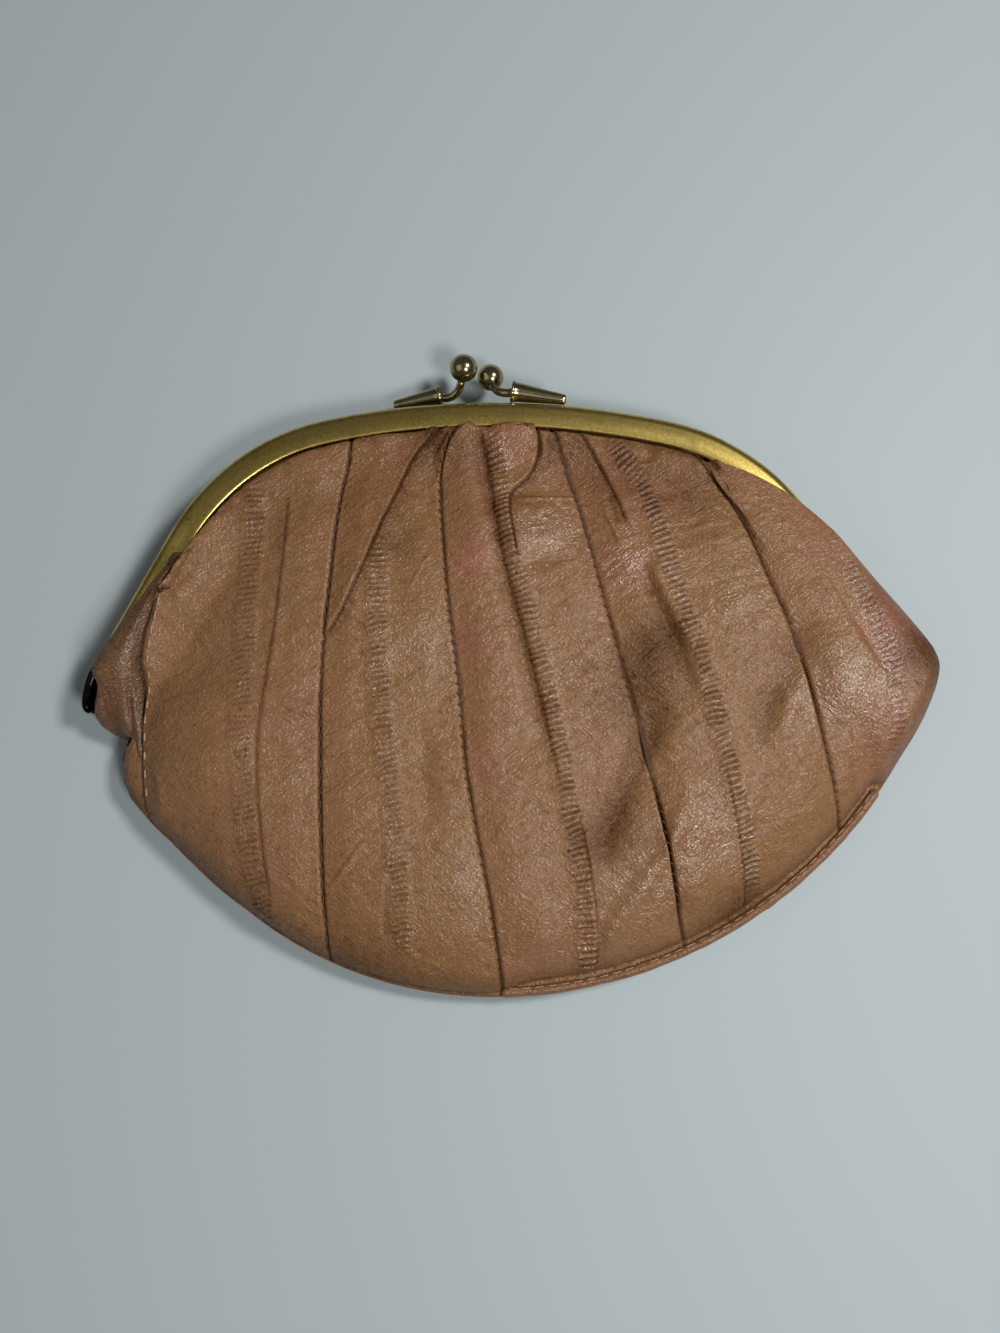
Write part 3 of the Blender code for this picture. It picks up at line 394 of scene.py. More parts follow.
def seamSideways(number):
    # how far a seam lies beside the straight line between its two ends, eased over its length. The
    # lines of sight are met with the panel's height in three rounds, from a first guess.
    lineX, lineY = straightPlace(float(number), shares)
    height = crown["seam"]
    for _ in range(3):
        x, y = photoPlace(seamLines[number], height)
        v = np.interp(-y, -lineY, shares)
        height = frontHeight(float(number), v)
    return soften(np.interp(shares, [0, *v, 1], [0, *(x - np.interp(v, shares, lineX)), 0]), 3)


sideways = np.array([seamSideways(number) if points else sideways[number]
                     for number, points in enumerate(seamLines)])


def noise(x, y, seed):
    # lattice noise from -1 to 1: a fixed scatter of heights at whole numbers, eased between
    i, j = np.floor(x).astype(np.int64), np.floor(y).astype(np.int64)
    u, w = smooth(x - i), smooth(y - j)

    def scatter(a, b):
        n = (a * 374761393 + b * 668265263 + seed * 974634777) & 0x7FFFFFFF
        n = ((n ^ (n >> 13)) * 1274126177) & 0x7FFFFFFF
        return (n ^ (n >> 16)) / 0x3FFFFFFF - 1

    low = mix(scatter(i, j), scatter(i + 1, j), u)
    high = mix(scatter(i, j + 1), scatter(i + 1, j + 1), u)
    return mix(low, high, w)


def turnedNoise(x, y, degrees, lengthAlong, lengthAcross, seed):
    # the same, with cells of two lengths that are turned by an angle
    a = math.radians(degrees)
    along, across = x * math.cos(a) + y * math.sin(a), y * math.cos(a) - x * math.sin(a)
    return noise(along / lengthAlong, across / lengthAcross, seed)


def photoLine(points):
    # a line read on the photograph, laid on the front panel, with its corners cut
    x, y = photoPlace(points, crown["line"])
    for _ in range(2):
        x, y = photoPlace(points, np.interp(y, crown["y"], crown["height"]))
    line = np.stack([x, y], axis=1)
    for _ in range(2):
        ahead, behind = line[1:], line[:-1]
        inner = np.stack([0.75 * behind + 0.25 * ahead, 0.25 * behind + 0.75 * ahead], axis=1)
        line = np.concatenate([line[:1], inner.reshape(-1, 2), line[-1:]])
    return line


def lineField(x, y, line):
    # distance to a line, left of its way positive, and how far along it the nearest point lies
    best = np.full(x.shape, np.inf)
    across, along = np.zeros_like(x), np.zeros_like(x)
    start = 0.0
    for (ax, ay), (bx, by) in zip(line[:-1], line[1:]):
        dx, dy = bx - ax, by - ay
        size = math.hypot(dx, dy)
        t = clamp(((x - ax) * dx + (y - ay) * dy) / size ** 2)
        away = np.hypot(x - ax - t * dx, y - ay - t * dy)
        side = np.where(dx * (y - ay) - dy * (x - ax) > 0, 1.0, -1.0)
        nearer = away < best
        best = np.where(nearer, away, best)
        across = np.where(nearer, side * away, across)
        along = np.where(nearer, start + t * size, along)
        start += size
    return across, along, start


# Folds of the front panel: kind, height and width in millimetres, fade at both ends as a share of
# the length, and the line in pixels. A lap stands up on one side of its line: to the left of its way
# where its height is above 0, and to the right otherwise.
folds = [
    ("lap", -1.0, 4.0, (0.02, 0.06), [(443, 425), (434, 439), (413, 458), (400, 485), (385, 515), (366, 558),
                                      (348, 599), (336, 622), (321, 640)]),
    ("ridge", 0.6, 1.1, (0.02, 0.2), [(480, 426), (462, 438), (448, 450), (441, 466), (438, 488)]),
    ("groove", -0.5, 0.8, (0.02, 0.3), [(470, 424), (450, 438), (436, 452), (430, 470)]),
    ("lap", -1.1, 6.0, (0.02, 0.1), [(530, 422), (537, 440), (538, 455), (533, 470), (524, 482), (512, 491),
                                     (508, 505), (511, 530), (518, 562)]),
    ("groove", -0.9, 0.7, (0.02, 0.2), [(533, 421), (540, 445), (539, 462)]),
    ("lap", 0.35, 3.2, (0.05, 0.1), [(478, 428), (486, 452), (491, 480), (496, 515), (502, 548), (510, 580),
                                    (520, 615), (530, 652), (541, 695), (550, 735), (558, 770), (566, 800)]),
    ("groove", -0.75, 3.4, (0.05, 0.15), [(475, 435), (483, 460), (488, 490), (494, 530), (504, 575),
                                        (516, 625), (527, 672), (538, 715), (548, 755)]),
    ("ridge", 0.25, 0.6, (0.1, 0.1), [(512, 501), (540, 499), (576, 497)]),
    ("lap", 0.6, 3.0, (0.02, 0.2), [(577, 430), (590, 450), (603, 470), (613, 490), (622, 510), (632, 535)]),
    ("groove", -0.35, 0.7, (0.2, 0.3), [(607, 490), (613, 508), (617, 530)]),
    ("ridge", 0.35, 1.0, (0.3, 0.3), [(600, 505), (612, 525), (624, 552)]),
    ("groove", -0.75, 2.6, (0.25, 0.3), [(637, 545), (646, 575), (657, 602), (669, 628), (681, 655),
                                         (690, 680), (695, 705)]),
    ("ridge", 0.5, 2.2, (0.2, 0.2), [(650, 560), (664, 592), (678, 620), (692, 652)]),
    ("groove", -0.6, 5.4, (0.3, 0.35), [(818, 600), (804, 625), (791, 650), (778, 680), (764, 710),
                                        (750, 745), (738, 780)]),
    ("ridge", 0.45, 4.0, (0.35, 0.35), [(822, 650), (806, 675), (792, 700), (780, 730), (768, 760)]),
    ("groove", -1.0, 5.0, (0.3, 0.2), [(668, 690), (650, 735), (628, 780), (606, 835), (596, 880)]),
    ("ridge", 0.9, 3.6, (0.2, 0.15), [(690, 800), (668, 845), (652, 870), (632, 898), (610, 930),
                                        (597, 955)]),
    ("ridge", 1.6, 11.0, (0.3, 0.3), [(668, 770), (672, 810), (680, 850), (690, 890), (700, 925)]),
    ("lap", -0.6, 3.0, (0.1, 0.1), [(578, 815), (586, 850), (591, 880), (596, 915), (597, 950), (592, 975)]),
    ("lap", -0.5, 2.6, (0.2, 0.05), [(722, 755), (730, 790), (738, 825), (743, 860), (748, 895), (749, 918)]),
    ("ridge", 0.35, 1.4, (0.3, 0.3), [(768, 790), (754, 808), (749, 830)]),
    ("groove", -0.3, 1.0, (0.2, 0.2), [(846, 715), (856, 755), (862, 800)]),
    ("lap", 0.45, 3.6, (0.05, 0.1), [(290, 490), (286, 530), (281, 570), (276, 610), (270, 650), (263, 700),
                                     (258, 745), (258, 785), (262, 830), (268, 880), (274, 915)]),
    ("lap", -0.5, 4.0, (0.3, 0.1), [(324, 640), (320, 700), (320, 780), (323, 860), (326, 930)]),
    ("ridge", 0.25, 1.6, (0.3, 0.3), [(150, 762), (154, 792), (156, 825)]),
    ("ridge", 0.35, 1.2, (0.1, 0.4), [(176, 600), (188, 584), (206, 566)]),
    ("lap", -0.4, 3.0, (0.3, 0.2), [(392, 845), (387, 880), (384, 915), (385, 950)]),
    ("ridge", 0.3, 0.7, (0.3, 0.3), [(372, 832), (350, 862), (327, 896)]),
    ("ridge", 0.2, 0.5, (0.3, 0.3), [(436, 545), (420, 568), (404, 598)]),
    ("ridge", 0.5, 6.0, (0.4, 0.4), [(545, 880), (540, 930), (545, 965)]),
    ("groove", -0.5, 5.0, (0.4, 0.4), [(420, 700), (424, 770), (432, 840)]),
    ("ridge", 1.1, 12.0, (0.45, 0.4), [(858, 605), (854, 630), (850, 660), (845, 695), (840, 735)]),
    ("ridge", 1.4, 13.0, (0.35, 0.35), [(508, 492), (512, 515), (517, 540), (522, 565)]),
]
foldLines = [(kind, height * mm, width * mm, fade, photoLine(points))
             for kind, height, width, fade, points in folds]
# Slow waves: turn, cell length, cell width, height and seed. A lap's step, and the dark line and shade in
# front of it: distance, width and strength.
slack = {"waves": [(82, 34 * mm, 10 * mm, 0.55 * mm, 11), (20, 9 * mm, 4 * mm, 0.18 * mm, 14)],
         "lapHalfStep": 0.36 * mm, "lapShades": [(0.2 * mm, 0.26 * mm, 0.8), (0.9 * mm, 1.2 * mm, 0.25)],
         "bell": 1.1, "grooveShade": 0.38}


def softRelief(x, y):
    # Folds and slow waves of the front panel, the same on both sides of a seam. A lap is a smooth step
    # that falls off exponentially on its high side; a ridge or a groove is a bell curve across its line.
    # With it comes painted shade: a dark line and shade in front of each lap, and shade along each groove.
    relief = 0
    for turn, long, short, height, seed in slack["waves"]:
        relief = relief + height * turnedNoise(x, y, turn, long, short, seed)
    shade = np.zeros_like(x)
    half = slack["lapHalfStep"]
    for kind, height, width, fade, line in foldLines:
        across, along, length = lineField(x, y, line)
        share = along / length
        ends = smooth(share / fade[0]) * smooth((1 - share) / fade[1])
        strong = min(1, abs(height) / mm)
        if kind == "lap":
            high = across if height > 0 else -across
            step = smooth((high + half) / (2 * half)) * np.exp(-np.maximum(high, 0) / width)
            relief += ends * abs(height) * step
            for away, wide, dark in slack["lapShades"]:
                shade += dark * strong * ends * np.exp(-((high + away) / wide) ** 2)
        else:
            bell = np.exp(-(across / (width / 2)) ** 2) * ends
            relief += slack["bell"] * height * bell
            if kind == "groove":
                shade += slack["grooveShade"] * strong * bell
    return relief, shade


# Ribs along the strips, where the fin of each skin was: a row of short cross ridges of unlike length
rib = {"halfWidth": 1.6 * mm, "soft": 0.5 * mm, "base": 0.14 * mm, "baseSoft": 1.2 * mm, "ridge": 0.62 * mm,
       "pitch": 1.08 * mm, "gapShade": 0.8, "slant": 0.12, "strength": [0.75, 0.9, 1.15, 1.15, 0.7],
       "fade": 4 * mm, "wander": 0.3, "wanderCell": 2.6 * mm, "sharp": 0.8, "level": 0.45, "barSharp": 1.8}
ribLines = [
    [(256, 482), (253, 520), (248, 560), (244, 620), (240, 680), (240, 740), (243, 800), (247, 845),
     (256, 890), (266, 925), (274, 945)],
    [(381, 535), (377, 565), (376, 620), (378, 670), (382, 720), (388, 765), (394, 810), (397, 850),
     (401, 900), (404, 962)],
    [(487, 432), (495, 455), (500, 490), (505, 540), (515, 570), (525, 605), (536, 645), (546, 690),
     (553, 720), (561, 760), (569, 805), (577, 850), (584, 900), (588, 950), (589, 982)],
    [(607, 437), (620, 456), (638, 478), (651, 505), (661, 535), (669, 562), (677, 590), (687, 620),
     (699, 648), (709, 682), (716, 715), (724, 745), (731, 772), (740, 805), (748, 838),
     (754, 868), (758, 898)],
    [(838, 545), (852, 572), (868, 604), (882, 636), (892, 662), (900, 700), (902, 735), (898, 762)],
]
ribPaths = [photoLine(points) for points in ribLines]


def ribRelief(number, x, y):
    # A raised cosine along the rib makes the cross ridges. Their width and strength change from bar to
    # bar, and they stand on a low flat swelling. Returned: relief, painted shade between the bars, and the
    # crests.
    across, along, length = lineField(x, y, ribPaths[number - 1])
    ends = smooth(along / rib["fade"]) * smooth((length - along) / rib["fade"])
    turn = (along + rib["slant"] * across) / rib["pitch"]
    turn = turn + rib["wander"] * noise(x / rib["wanderCell"], y / rib["wanderCell"], 3)
    bar = np.round(turn)
    half = rib["halfWidth"] * (0.85 + 0.3 * noise(bar, np.full_like(bar, number), 5))
    band = smooth((half + rib["soft"] - np.abs(across)) / rib["soft"]) * ends
    ridges = (0.5 + 0.5 * np.cos(2 * pi * turn)) ** rib["sharp"]
    strength = 0.75 + 0.35 * noise(bar * 0.8, np.full_like(bar, number + 7), 4)
    strength = rib["strength"][number - 1] * strength
    raised = smooth((rib["halfWidth"] + rib["baseSoft"] - np.abs(across)) / rib["baseSoft"]) * ends
    relief = rib["base"] * raised + band * rib["ridge"] * (ridges - rib["level"]) * strength
    return relief, band * (1 - ridges) ** rib["barSharp"] * rib["gapShade"] * strength, band * ridges


# Wrinkles of the glazed skin that are wide enough for the mesh; the material has the finer ones
wrinkles = {"long": 4.0 * mm, "short": 1.1 * mm, "height": 0.095 * mm, "turn": 16, "cross": 40,
            "patch": 12 * mm, "crossShare": 0.6, "fine": 1.5 * mm, "fineShare": 0.5}


def wrinkleRelief(x, y):
    # stretched noise in one of two directions, by patches, with a third direction and round noise over it
    long, short, patch, fine = wrinkles["long"], wrinkles["short"], wrinkles["patch"], wrinkles["fine"]
    where = smooth(0.5 + 0.9 * noise(x / patch, y / patch, 21))
    one = turnedNoise(x, y, wrinkles["turn"], long, short, 22)
    two = turnedNoise(x, y, -wrinkles["cross"], long, short, 23)
    three = turnedNoise(x, y, wrinkles["cross"], long, short, 24)
    return wrinkles["height"] * (mix(two, one, where) + wrinkles["crossShare"] * three
                                 + wrinkles["fineShare"] * noise(x / fine, y / fine, 25))


# Patches: pixel, radius in pixels, and how far towards the pink colour, the dark one or full polish. The dark
# ones are partly darker tone of the skin and partly painted shade, where the surface lies in a valley
pinkPatches = [
    (300, 700, 60, 0.5), (390, 460, 55, 0.6), (330, 540, 30, 0.5), (470, 560, 32, 0.6), (475, 650, 25, 0.7),
    (480, 760, 25, 0.5), (510, 440, 30, 0.6), (620, 560, 40, 0.7), (610, 470, 35, 0.7), (650, 500, 30, 0.6),
    (830, 540, 40, 0.6), (900, 620, 45, 0.7), (890, 740, 40, 0.7), (700, 840, 35, 0.4), (250, 830, 60, 0.3),
    (680, 460, 30, 0.4), (560, 700, 30, 0.2), (545, 960, 40, 0.5)]
toneAndShadePatches = [
    (640, 690, 48, 0.6), (655, 640, 28, 0.5), (610, 830, 45, 0.35), (925, 648, 36, 0.8), (880, 590, 30, 0.3),
    (400, 540, 30, 0.3), (765, 700, 26, 0.15), (420, 610, 40, 0.15), (230, 500, 40, 0.2), (440, 440, 25, 0.4),
    (560, 450, 24, 0.4), (700, 490, 45, 0.35), (360, 950, 40, 0.25), (740, 905, 30, 0.35),
    (620, 470, 50, 0.35), (300, 500, 60, 0.2), (390, 450, 45, 0.25), (480, 450, 40, 0.25),
    (250, 850, 60, 0.1), (780, 640, 30, 0.15)]
polishedPatches = [
    (858, 688, 46, 1.0), (545, 520, 34, 1.0), (625, 560, 24, 0.9), (702, 836, 38, 1.0), (645, 885, 34, 0.9),
    (580, 680, 50, 0.15), (470, 890, 40, 0.4), (420, 650, 40, 0.35), (290, 560, 50, 0.3), (575, 940, 40, 0.5),
    (735, 590, 35, 0.4), (310, 420, 60, 0.3), (500, 460, 25, 0.5), (800, 700, 30, 0.4)]


def patches(x, y, spots):
    # sum of round bell curves
    total = np.zeros_like(x)
    for px, py, radius, amount in spots:
        cx, cy = photoPlace([(px, py)], crown["patch"])
        size = radius / view["pixelsHigh"] * view["height"]
        total += amount * np.exp(-((x - cx[0]) ** 2 + (y - cy[0]) ** 2) / size ** 2)
    return total


def sheetPoints(height, k, v):
    # a panel as a surface: by seam number and share of the way down, the place and the height there
    x, y = panelPlace(k, v)
    return np.stack([x, y, height(k, v)], axis=-1)


# The leather bulges out of the mouth and a little over the band: millimetres by share of half the frame
lip = {"share": [-0.8, -0.75, -0.663, -0.58, -0.47, -0.3, -0.12, -0.085, -0.04, -0.01, 0.02, 0.06, 0.085,
                 0.11, 0.14, 0.2, 0.3, 0.36, 0.4, 0.425, 0.455],
       "over": [2.4, 1.9, 0.8, 0.4, 0.2, 0.3, 0.5, 1.2, 1.1, 0.8, 1.6, 1.5, 0.7, 0.5, 0.8, 0.4, 0.2, 0.1,
                0, 0, 0],
       "lift": [3.4, 3.4, 3.0, 2.4, 1.6, 1.4, 2.0, 2.9, 2.9, 2.4, 3.2, 3.2, 2.4, 1.8, 2.4, 1.6, 1.2, 1.2, 0.8,
                0.4, 0.0],
       "rise": 1.8 * mm, "reach": 6 * mm, "overClear": 0.1 * mm, "overLow": 6 * mm,
       "liftRise": 1.4 * mm, "liftClear": 0.6 * mm, "fadeFrom": 0.8 * mm, "fade": 9 * mm, "liftLow": 4 * mm,
       "lowRun": 10 * mm, "gathers": 0.35 * mm, "gatherPitch": 2.2 * mm, "gatherLength": 12 * mm,
       "gatherRise": 1 * mm, "gatherFade": 7 * mm}


def bulgeOverLip(points):
    # moved outwards and lifted by smooth bumps of the distance from the band, with gathers in the lift
    x, y, z = points[..., 0], points[..., 1], points[..., 2]
    depth, share, outX, outY = frameFrom(x, y)
    run = depth - purse["bandWidth"]
    over = np.interp(share, lip["share"], lip["over"]) * mm * smooth((run + lip["overClear"]) / lip["rise"])
    over = over * (1 - smooth((run - lip["rise"]) / lip["reach"]))
    over = over * smooth((y + lip["overLow"]) / lip["lowRun"])
    lift = np.interp(share, lip["share"], lip["lift"]) * mm
    lift = lift * smooth((run + lip["liftClear"]) / lip["liftRise"])
    lift = lift * (1 - smooth((run - lip["fadeFrom"]) / lip["fade"]))
    lift = lift * smooth((y + lip["liftLow"]) / lip["lowRun"])
    pull = noise(share * halfLength / lip["gatherPitch"], run / lip["gatherLength"], 41)
    pull = pull * smooth(run / lip["gatherRise"])
    lift = lift + lip["gathers"] * pull * (1 - smooth(run / lip["gatherFade"])) * (lift > 0)
    return np.stack([x + over * outX, y + over * outY, z + lift], axis=-1)


def gridNormals(points):
    # cross product of the two grid directions, upwards for rows that run down the panel
    normal = np.cross(np.gradient(points, axis=1), -np.gradient(points, axis=0))
    return normal / np.maximum(np.linalg.norm(normal, axis=-1, keepdims=True), 1e-12)


def newObject(name, points, faces, material):
    mesh = bpy.data.meshes.new(name)
    mesh.from_pydata(points, [], faces)
    mesh.update()
    mesh.shade_smooth()
    mesh.materials.append(material)
    made = bpy.data.objects.new(name, mesh)
    bpy.context.scene.collection.objects.link(made)
    return made


def paint(made, places, values):
    # the place at rest and the painted shares, which the materials read
    mesh = made.data
    layer = mesh.attributes.new("restPlace", "FLOAT_VECTOR", "POINT")
    layer.data.foreach_set("vector", np.ascontiguousarray(places, dtype=np.float32).ravel())
    for key, value in values.items():
        layer = mesh.attributes.new(key, "FLOAT", "POINT")
        layer.data.foreach_set("value", np.ascontiguousarray(value, dtype=np.float32).ravel())
    return made


def closedShell(name, outer, inner, material, values, flip=False):
    # two grids that share their border, so that the shell is closed with a rounded edge
    rows, columns = outer.shape[:2]
    count = rows * columns
    outerIndex = np.arange(count).reshape(rows, columns)
    innerIndex = outerIndex + count
    innerIndex[0], innerIndex[-1] = outerIndex[0], outerIndex[-1]
    innerIndex[:, 0], innerIndex[:, -1] = outerIndex[:, 0], outerIndex[:, -1]

    def quads(index, turn):
        a, b, c, d = index[:-1, :-1], index[1:, :-1], index[1:, 1:], index[:-1, 1:]
        return np.stack((a, d, c, b) if turn else (a, b, c, d), axis=-1).reshape(-1, 4)

    faces = np.concatenate([quads(outerIndex, flip), quads(innerIndex, not flip)])
    points = np.concatenate([outer.reshape(-1, 3), inner.reshape(-1, 3)])
    used = np.unique(faces)
    renumber = np.full(len(points), -1)
    renumber[used] = np.arange(len(used))
    made = newObject(name, points[used].tolist(), renumber[faces].tolist(), material)
    both = {key: np.concatenate([np.ravel(value), np.ravel(value)])[used] for key, value in values.items()}
    return paint(made, points[used], both)


def stations(length, step, edgeSteps):
    # even steps, with closer ones at both ends
    edge = np.array(edgeSteps) * mm
    inner = np.linspace(edge[-1], length - edge[-1], max(4, int(length / step)))
    return np.concatenate([edge[:-1], inner, length - edge[-2::-1]]) / length


def hexColour(code):
    # sRGB hex to linear
    parts = [int(code[i:i + 2], 16) / 255 for i in (1, 3, 5)]
    linear = [c / 12.92 if c <= 0.04045 else ((c + 0.055) / 1.055) ** 2.4 for c in parts]
    return (*linear, 1.0)


def addNode(tree, kind, inputs, output=0, **settings):
    # A node with its settings and links. An input is a value or another node's output, and what comes
    # back is the node's own output, where it has one.
    node = tree.nodes.new("ShaderNode" + kind)
    for key, value in settings.items():
        setattr(node, key, value)
    for key, value in inputs.items():
        if isinstance(value, bpy.types.NodeSocket):
            tree.links.new(value, node.inputs[key])
        else:
            node.inputs[key].default_value = value
    return node.outputs[output] if node.outputs else None


def startMaterial(name):
    material = bpy.data.materials.new(name)
    material.use_nodes = True
    material.node_tree.nodes.clear()
    return material, material.node_tree


def eelLeather(name, base, pink, dark):
    # glazed eel skin: thin and waxy, uneven dye, a net of fine creases and hairlines under the glaze
    material, tree = startMaterial(name)
    place = addNode(tree, "Attribute", {}, "Vector", attribute_name="restPlace")
    tint, shade, polish = (addNode(tree, "Attribute", {}, "Fac", attribute_name=key)
                           for key in ("tint", "shade", "polish"))

    # noise whose cells are so many millimetres wide
    cloud, blotch, mottle, knots = (
        addNode(tree, "TexNoise", {"Vector": place, "Scale": 1 / (size * mm), "Detail": detail,
                                   "Roughness": rough}, "Fac")
        for size, detail, rough in ((10.5, 5.0, 0.6), (5.0, 3.0, 0.6), (1.6, 6.0, 0.7), (0.85, 2.0, 0.5)))
    # noise stretched along a direction: degrees, and millimetres along and across a hairline
    hairs = []
    for turn, along, across in ((36, 4.0, 0.30), (-38, 3.6, 0.32), (12, 4.5, 1.0)):
        mapped = addNode(tree, "Mapping", {"Vector": place, "Rotation": (0, 0, turn * pi / 180),
                                           "Scale": (along * mm, across * mm, across * mm)},
                         vector_type="TEXTURE")
        hairs.append(addNode(tree, "TexNoise", {"Vector": mapped, "Scale": 1.0, "Detail": 2.0}, "Fac"))
    where = addNode(tree, "MapRange", {"Value": blotch, "From Min": 0.42, "From Max": 0.58})
    grain = addNode(tree, "Mix", {0: where, 2: hairs[0], 3: hairs[1]}, data_type="FLOAT")
    # distance from the middle of a noise: thin valleys between rounded cells
    cells = addNode(tree, "Math", {0: knots, 1: 0.5}, operation="SUBTRACT")
    cells = addNode(tree, "Math", {0: cells}, operation="ABSOLUTE")

    # colour: pink where it is tinted and cloudy; dark with painted shade in the valleys between cells and
    # from the shade attribute, and dark in hairline streaks and dirt
    pinkCloud = addNode(tree, "Math", {0: cloud, 1: 1.8, 2: -0.9}, operation="MULTIPLY_ADD")
    pinkShare = addNode(tree, "Math", {0: tint, 1: pinkCloud}, operation="ADD", use_clamp=True)
    skin = addNode(tree, "Mix", {0: pinkShare, 6: hexColour(base), 7: hexColour(pink)}, 2, data_type="RGBA")
    # painted shade: the thin valleys between the cells are darkened
    creaseShade = addNode(tree, "Math", {0: cells, 1: 9.0}, operation="MULTIPLY")
    creaseShade = addNode(tree, "Math", {0: 1.0, 1: creaseShade}, operation="SUBTRACT", use_clamp=True)
    creaseShade = addNode(tree, "Math", {0: creaseShade, 1: 0.22}, operation="MULTIPLY")
    streak = addNode(tree, "MapRange", {"Value": grain, "From Min": 0.47, "From Max": 0.32, "To Max": 0.28})
    dirt = addNode(tree, "MapRange", {"Value": mottle, "From Min": 0.52, "From Max": 0.80, "To Max": 0.45})
    lines = addNode(tree, "Math", {0: creaseShade, 1: streak}, operation="ADD")
    shadeAndDirt = addNode(tree, "Math", {0: shade, 1: dirt}, operation="ADD")
    # worn: painted shade (crease valleys and the shade attribute) together with the hairline streaks and dirt
    worn = addNode(tree, "Math", {0: lines, 1: shadeAndDirt}, operation="ADD", use_clamp=True)
    colour = addNode(tree, "Mix", {0: worn, 6: skin, 7: hexColour(dark)}, 2, data_type="RGBA")

    # relief: waves, cells and hairlines
    height = addNode(tree, "Math", {0: hairs[2], 1: 0.4}, operation="MULTIPLY")
    height = addNode(tree, "Math", {0: cells, 1: 1.15, 2: height}, operation="MULTIPLY_ADD")
    height = addNode(tree, "Math", {0: grain, 1: 0.50, 2: height}, operation="MULTIPLY_ADD")
    bump = addNode(tree, "Bump", {"Strength": 1.0, "Distance": 0.36 * mm, "Height": height})

    # glaze: smoother and thicker where it is polished, gone in the hairline streaks, the dirt and the painted
    # shade
    rough = addNode(tree, "MapRange", {"Value": mottle, "From Min": 0.3, "From Max": 0.7, "To Min": 0.42,
                                       "To Max": 0.60})
    smoother = addNode(tree, "Math", {0: polish, 1: -0.4, 2: 1.0}, operation="MULTIPLY_ADD")
    rough = addNode(tree, "Math", {0: rough, 1: smoother}, operation="MULTIPLY")
    freeOfShadeAndWear = addNode(tree, "Math", {0: 1.0, 1: worn}, operation="SUBTRACT", use_clamp=True)
    coat = addNode(tree, "Math", {0: polish, 1: 0.66, 2: 0.32}, operation="MULTIPLY_ADD")
    coat = addNode(tree, "Math", {0: coat, 1: freeOfShadeAndWear}, operation="MULTIPLY")
    specular = addNode(tree, "Math", {0: polish, 1: 0.14, 2: 0.07}, operation="MULTIPLY_ADD")
    specular = addNode(tree, "Math", {0: freeOfShadeAndWear, 1: 0.22, 2: specular}, operation="MULTIPLY_ADD")
    shader = addNode(tree, "BsdfPrincipled", {"Base Color": colour, "Roughness": rough, "Normal": bump,
                                              "IOR": 1.5, "Specular IOR Level": specular,
                                              "Coat Weight": coat, "Coat Roughness": 0.18,
                                              "Coat Normal": bump})
    addNode(tree, "OutputMaterial", {"Surface": shader})
    return material


def plate(name, bright, worn, roughness, wornShare):
    # brass plate over pressed steel: clouded by handling, specks where it has worn through
    material, tree = startMaterial(name)
    place = addNode(tree, "TexCoord", {}, "Object")
    # clouds and specks: millimetres across a cell
    cloud, speck = (
        addNode(tree, "TexNoise", {"Vector": place, "Scale": 1 / (size * mm), "Detail": detail,
                                   "Roughness": 0.7}, "Fac")
        for size, detail in ((20 / 3, 8.0), (5 / 9, 4.0)))
    share = addNode(tree, "Math", {0: speck, 1: 0.5, 2: cloud}, operation="MULTIPLY_ADD")
    share = addNode(tree, "MapRange", {"Value": share, "From Min": 0.70, "From Max": 0.92,
                                       "To Max": wornShare})
    colour = addNode(tree, "Mix", {0: share, 6: hexColour(bright), 7: hexColour(worn)}, 2, data_type="RGBA")
    rough = addNode(tree, "MapRange", {"Value": cloud, "From Min": 0.3, "From Max": 0.7,
                                       "To Min": roughness * 0.8, "To Max": roughness * 1.3})
    bump = addNode(tree, "Bump", {"Strength": 0.3, "Distance": 0.02 * mm, "Height": speck})
    shader = addNode(tree, "BsdfPrincipled", {"Base Color": colour, "Roughness": rough, "Metallic": 1.0,
                                              "Normal": bump})
    addNode(tree, "OutputMaterial", {"Surface": shader})
    return material


def fibre(name, base, dark, pitch):
    # dull fibres: woven lining, waxed thread or twisted paper, with cells as wide as the yarn
    material, tree = startMaterial(name)
    place = addNode(tree, "TexCoord", {}, "Object")
    weave = addNode(tree, "TexVoronoi", {"Vector": place, "Scale": 1 / pitch}, "Distance")
    colour = addNode(tree, "Mix", {0: weave, 6: hexColour(base), 7: hexColour(dark)}, 2, data_type="RGBA")
    bump = addNode(tree, "Bump", {"Strength": 0.5, "Distance": 0.1 * mm, "Height": weave})
    shader = addNode(tree, "BsdfPrincipled", {"Base Color": colour, "Roughness": 0.85, "Normal": bump,
                                              "IOR": 1.5})
    addNode(tree, "OutputMaterial", {"Surface": shader})
    return material


pinkBrown = eelLeather("glazedEelPinkBrown", "#845F3D", "#8B5C45", "#432713")
olive = eelLeather("glazedEelOlive", "#835D39", "#885A40", "#3E240D")
mauve = eelLeather("glazedEelMauve", "#855F3D", "#905A46", "#442713")
gussetSkin = eelLeather("glazedEelRedBrown", "#6C4A2F", "#704A33", "#34200F")
bandPlate = plate("satinBrassPlate", "#D2B868", "#86702F", 0.27, 0.8)
claspPlate = plate("polishedBrassPlate", "#A89C78", "#6A5F40", 0.17, 0.6)
blackPlate = plate("blackenedBrass", "#1A1816", "#2A2622", 0.20, 0.4)
liningCloth = fibre("wovenLining", "#4A3428", "#34241C", 0.6 * mm)
threadBrown = fibre("waxedThread", "#563826", "#382317", 0.3 * mm)
threadPale = fibre("waxedThreadPale", "#AE9678", "#866E54", 0.3 * mm)
paperCord = fibre("paperCord", "#B09878", "#8A7658", 0.6 * mm)
print("materials made")
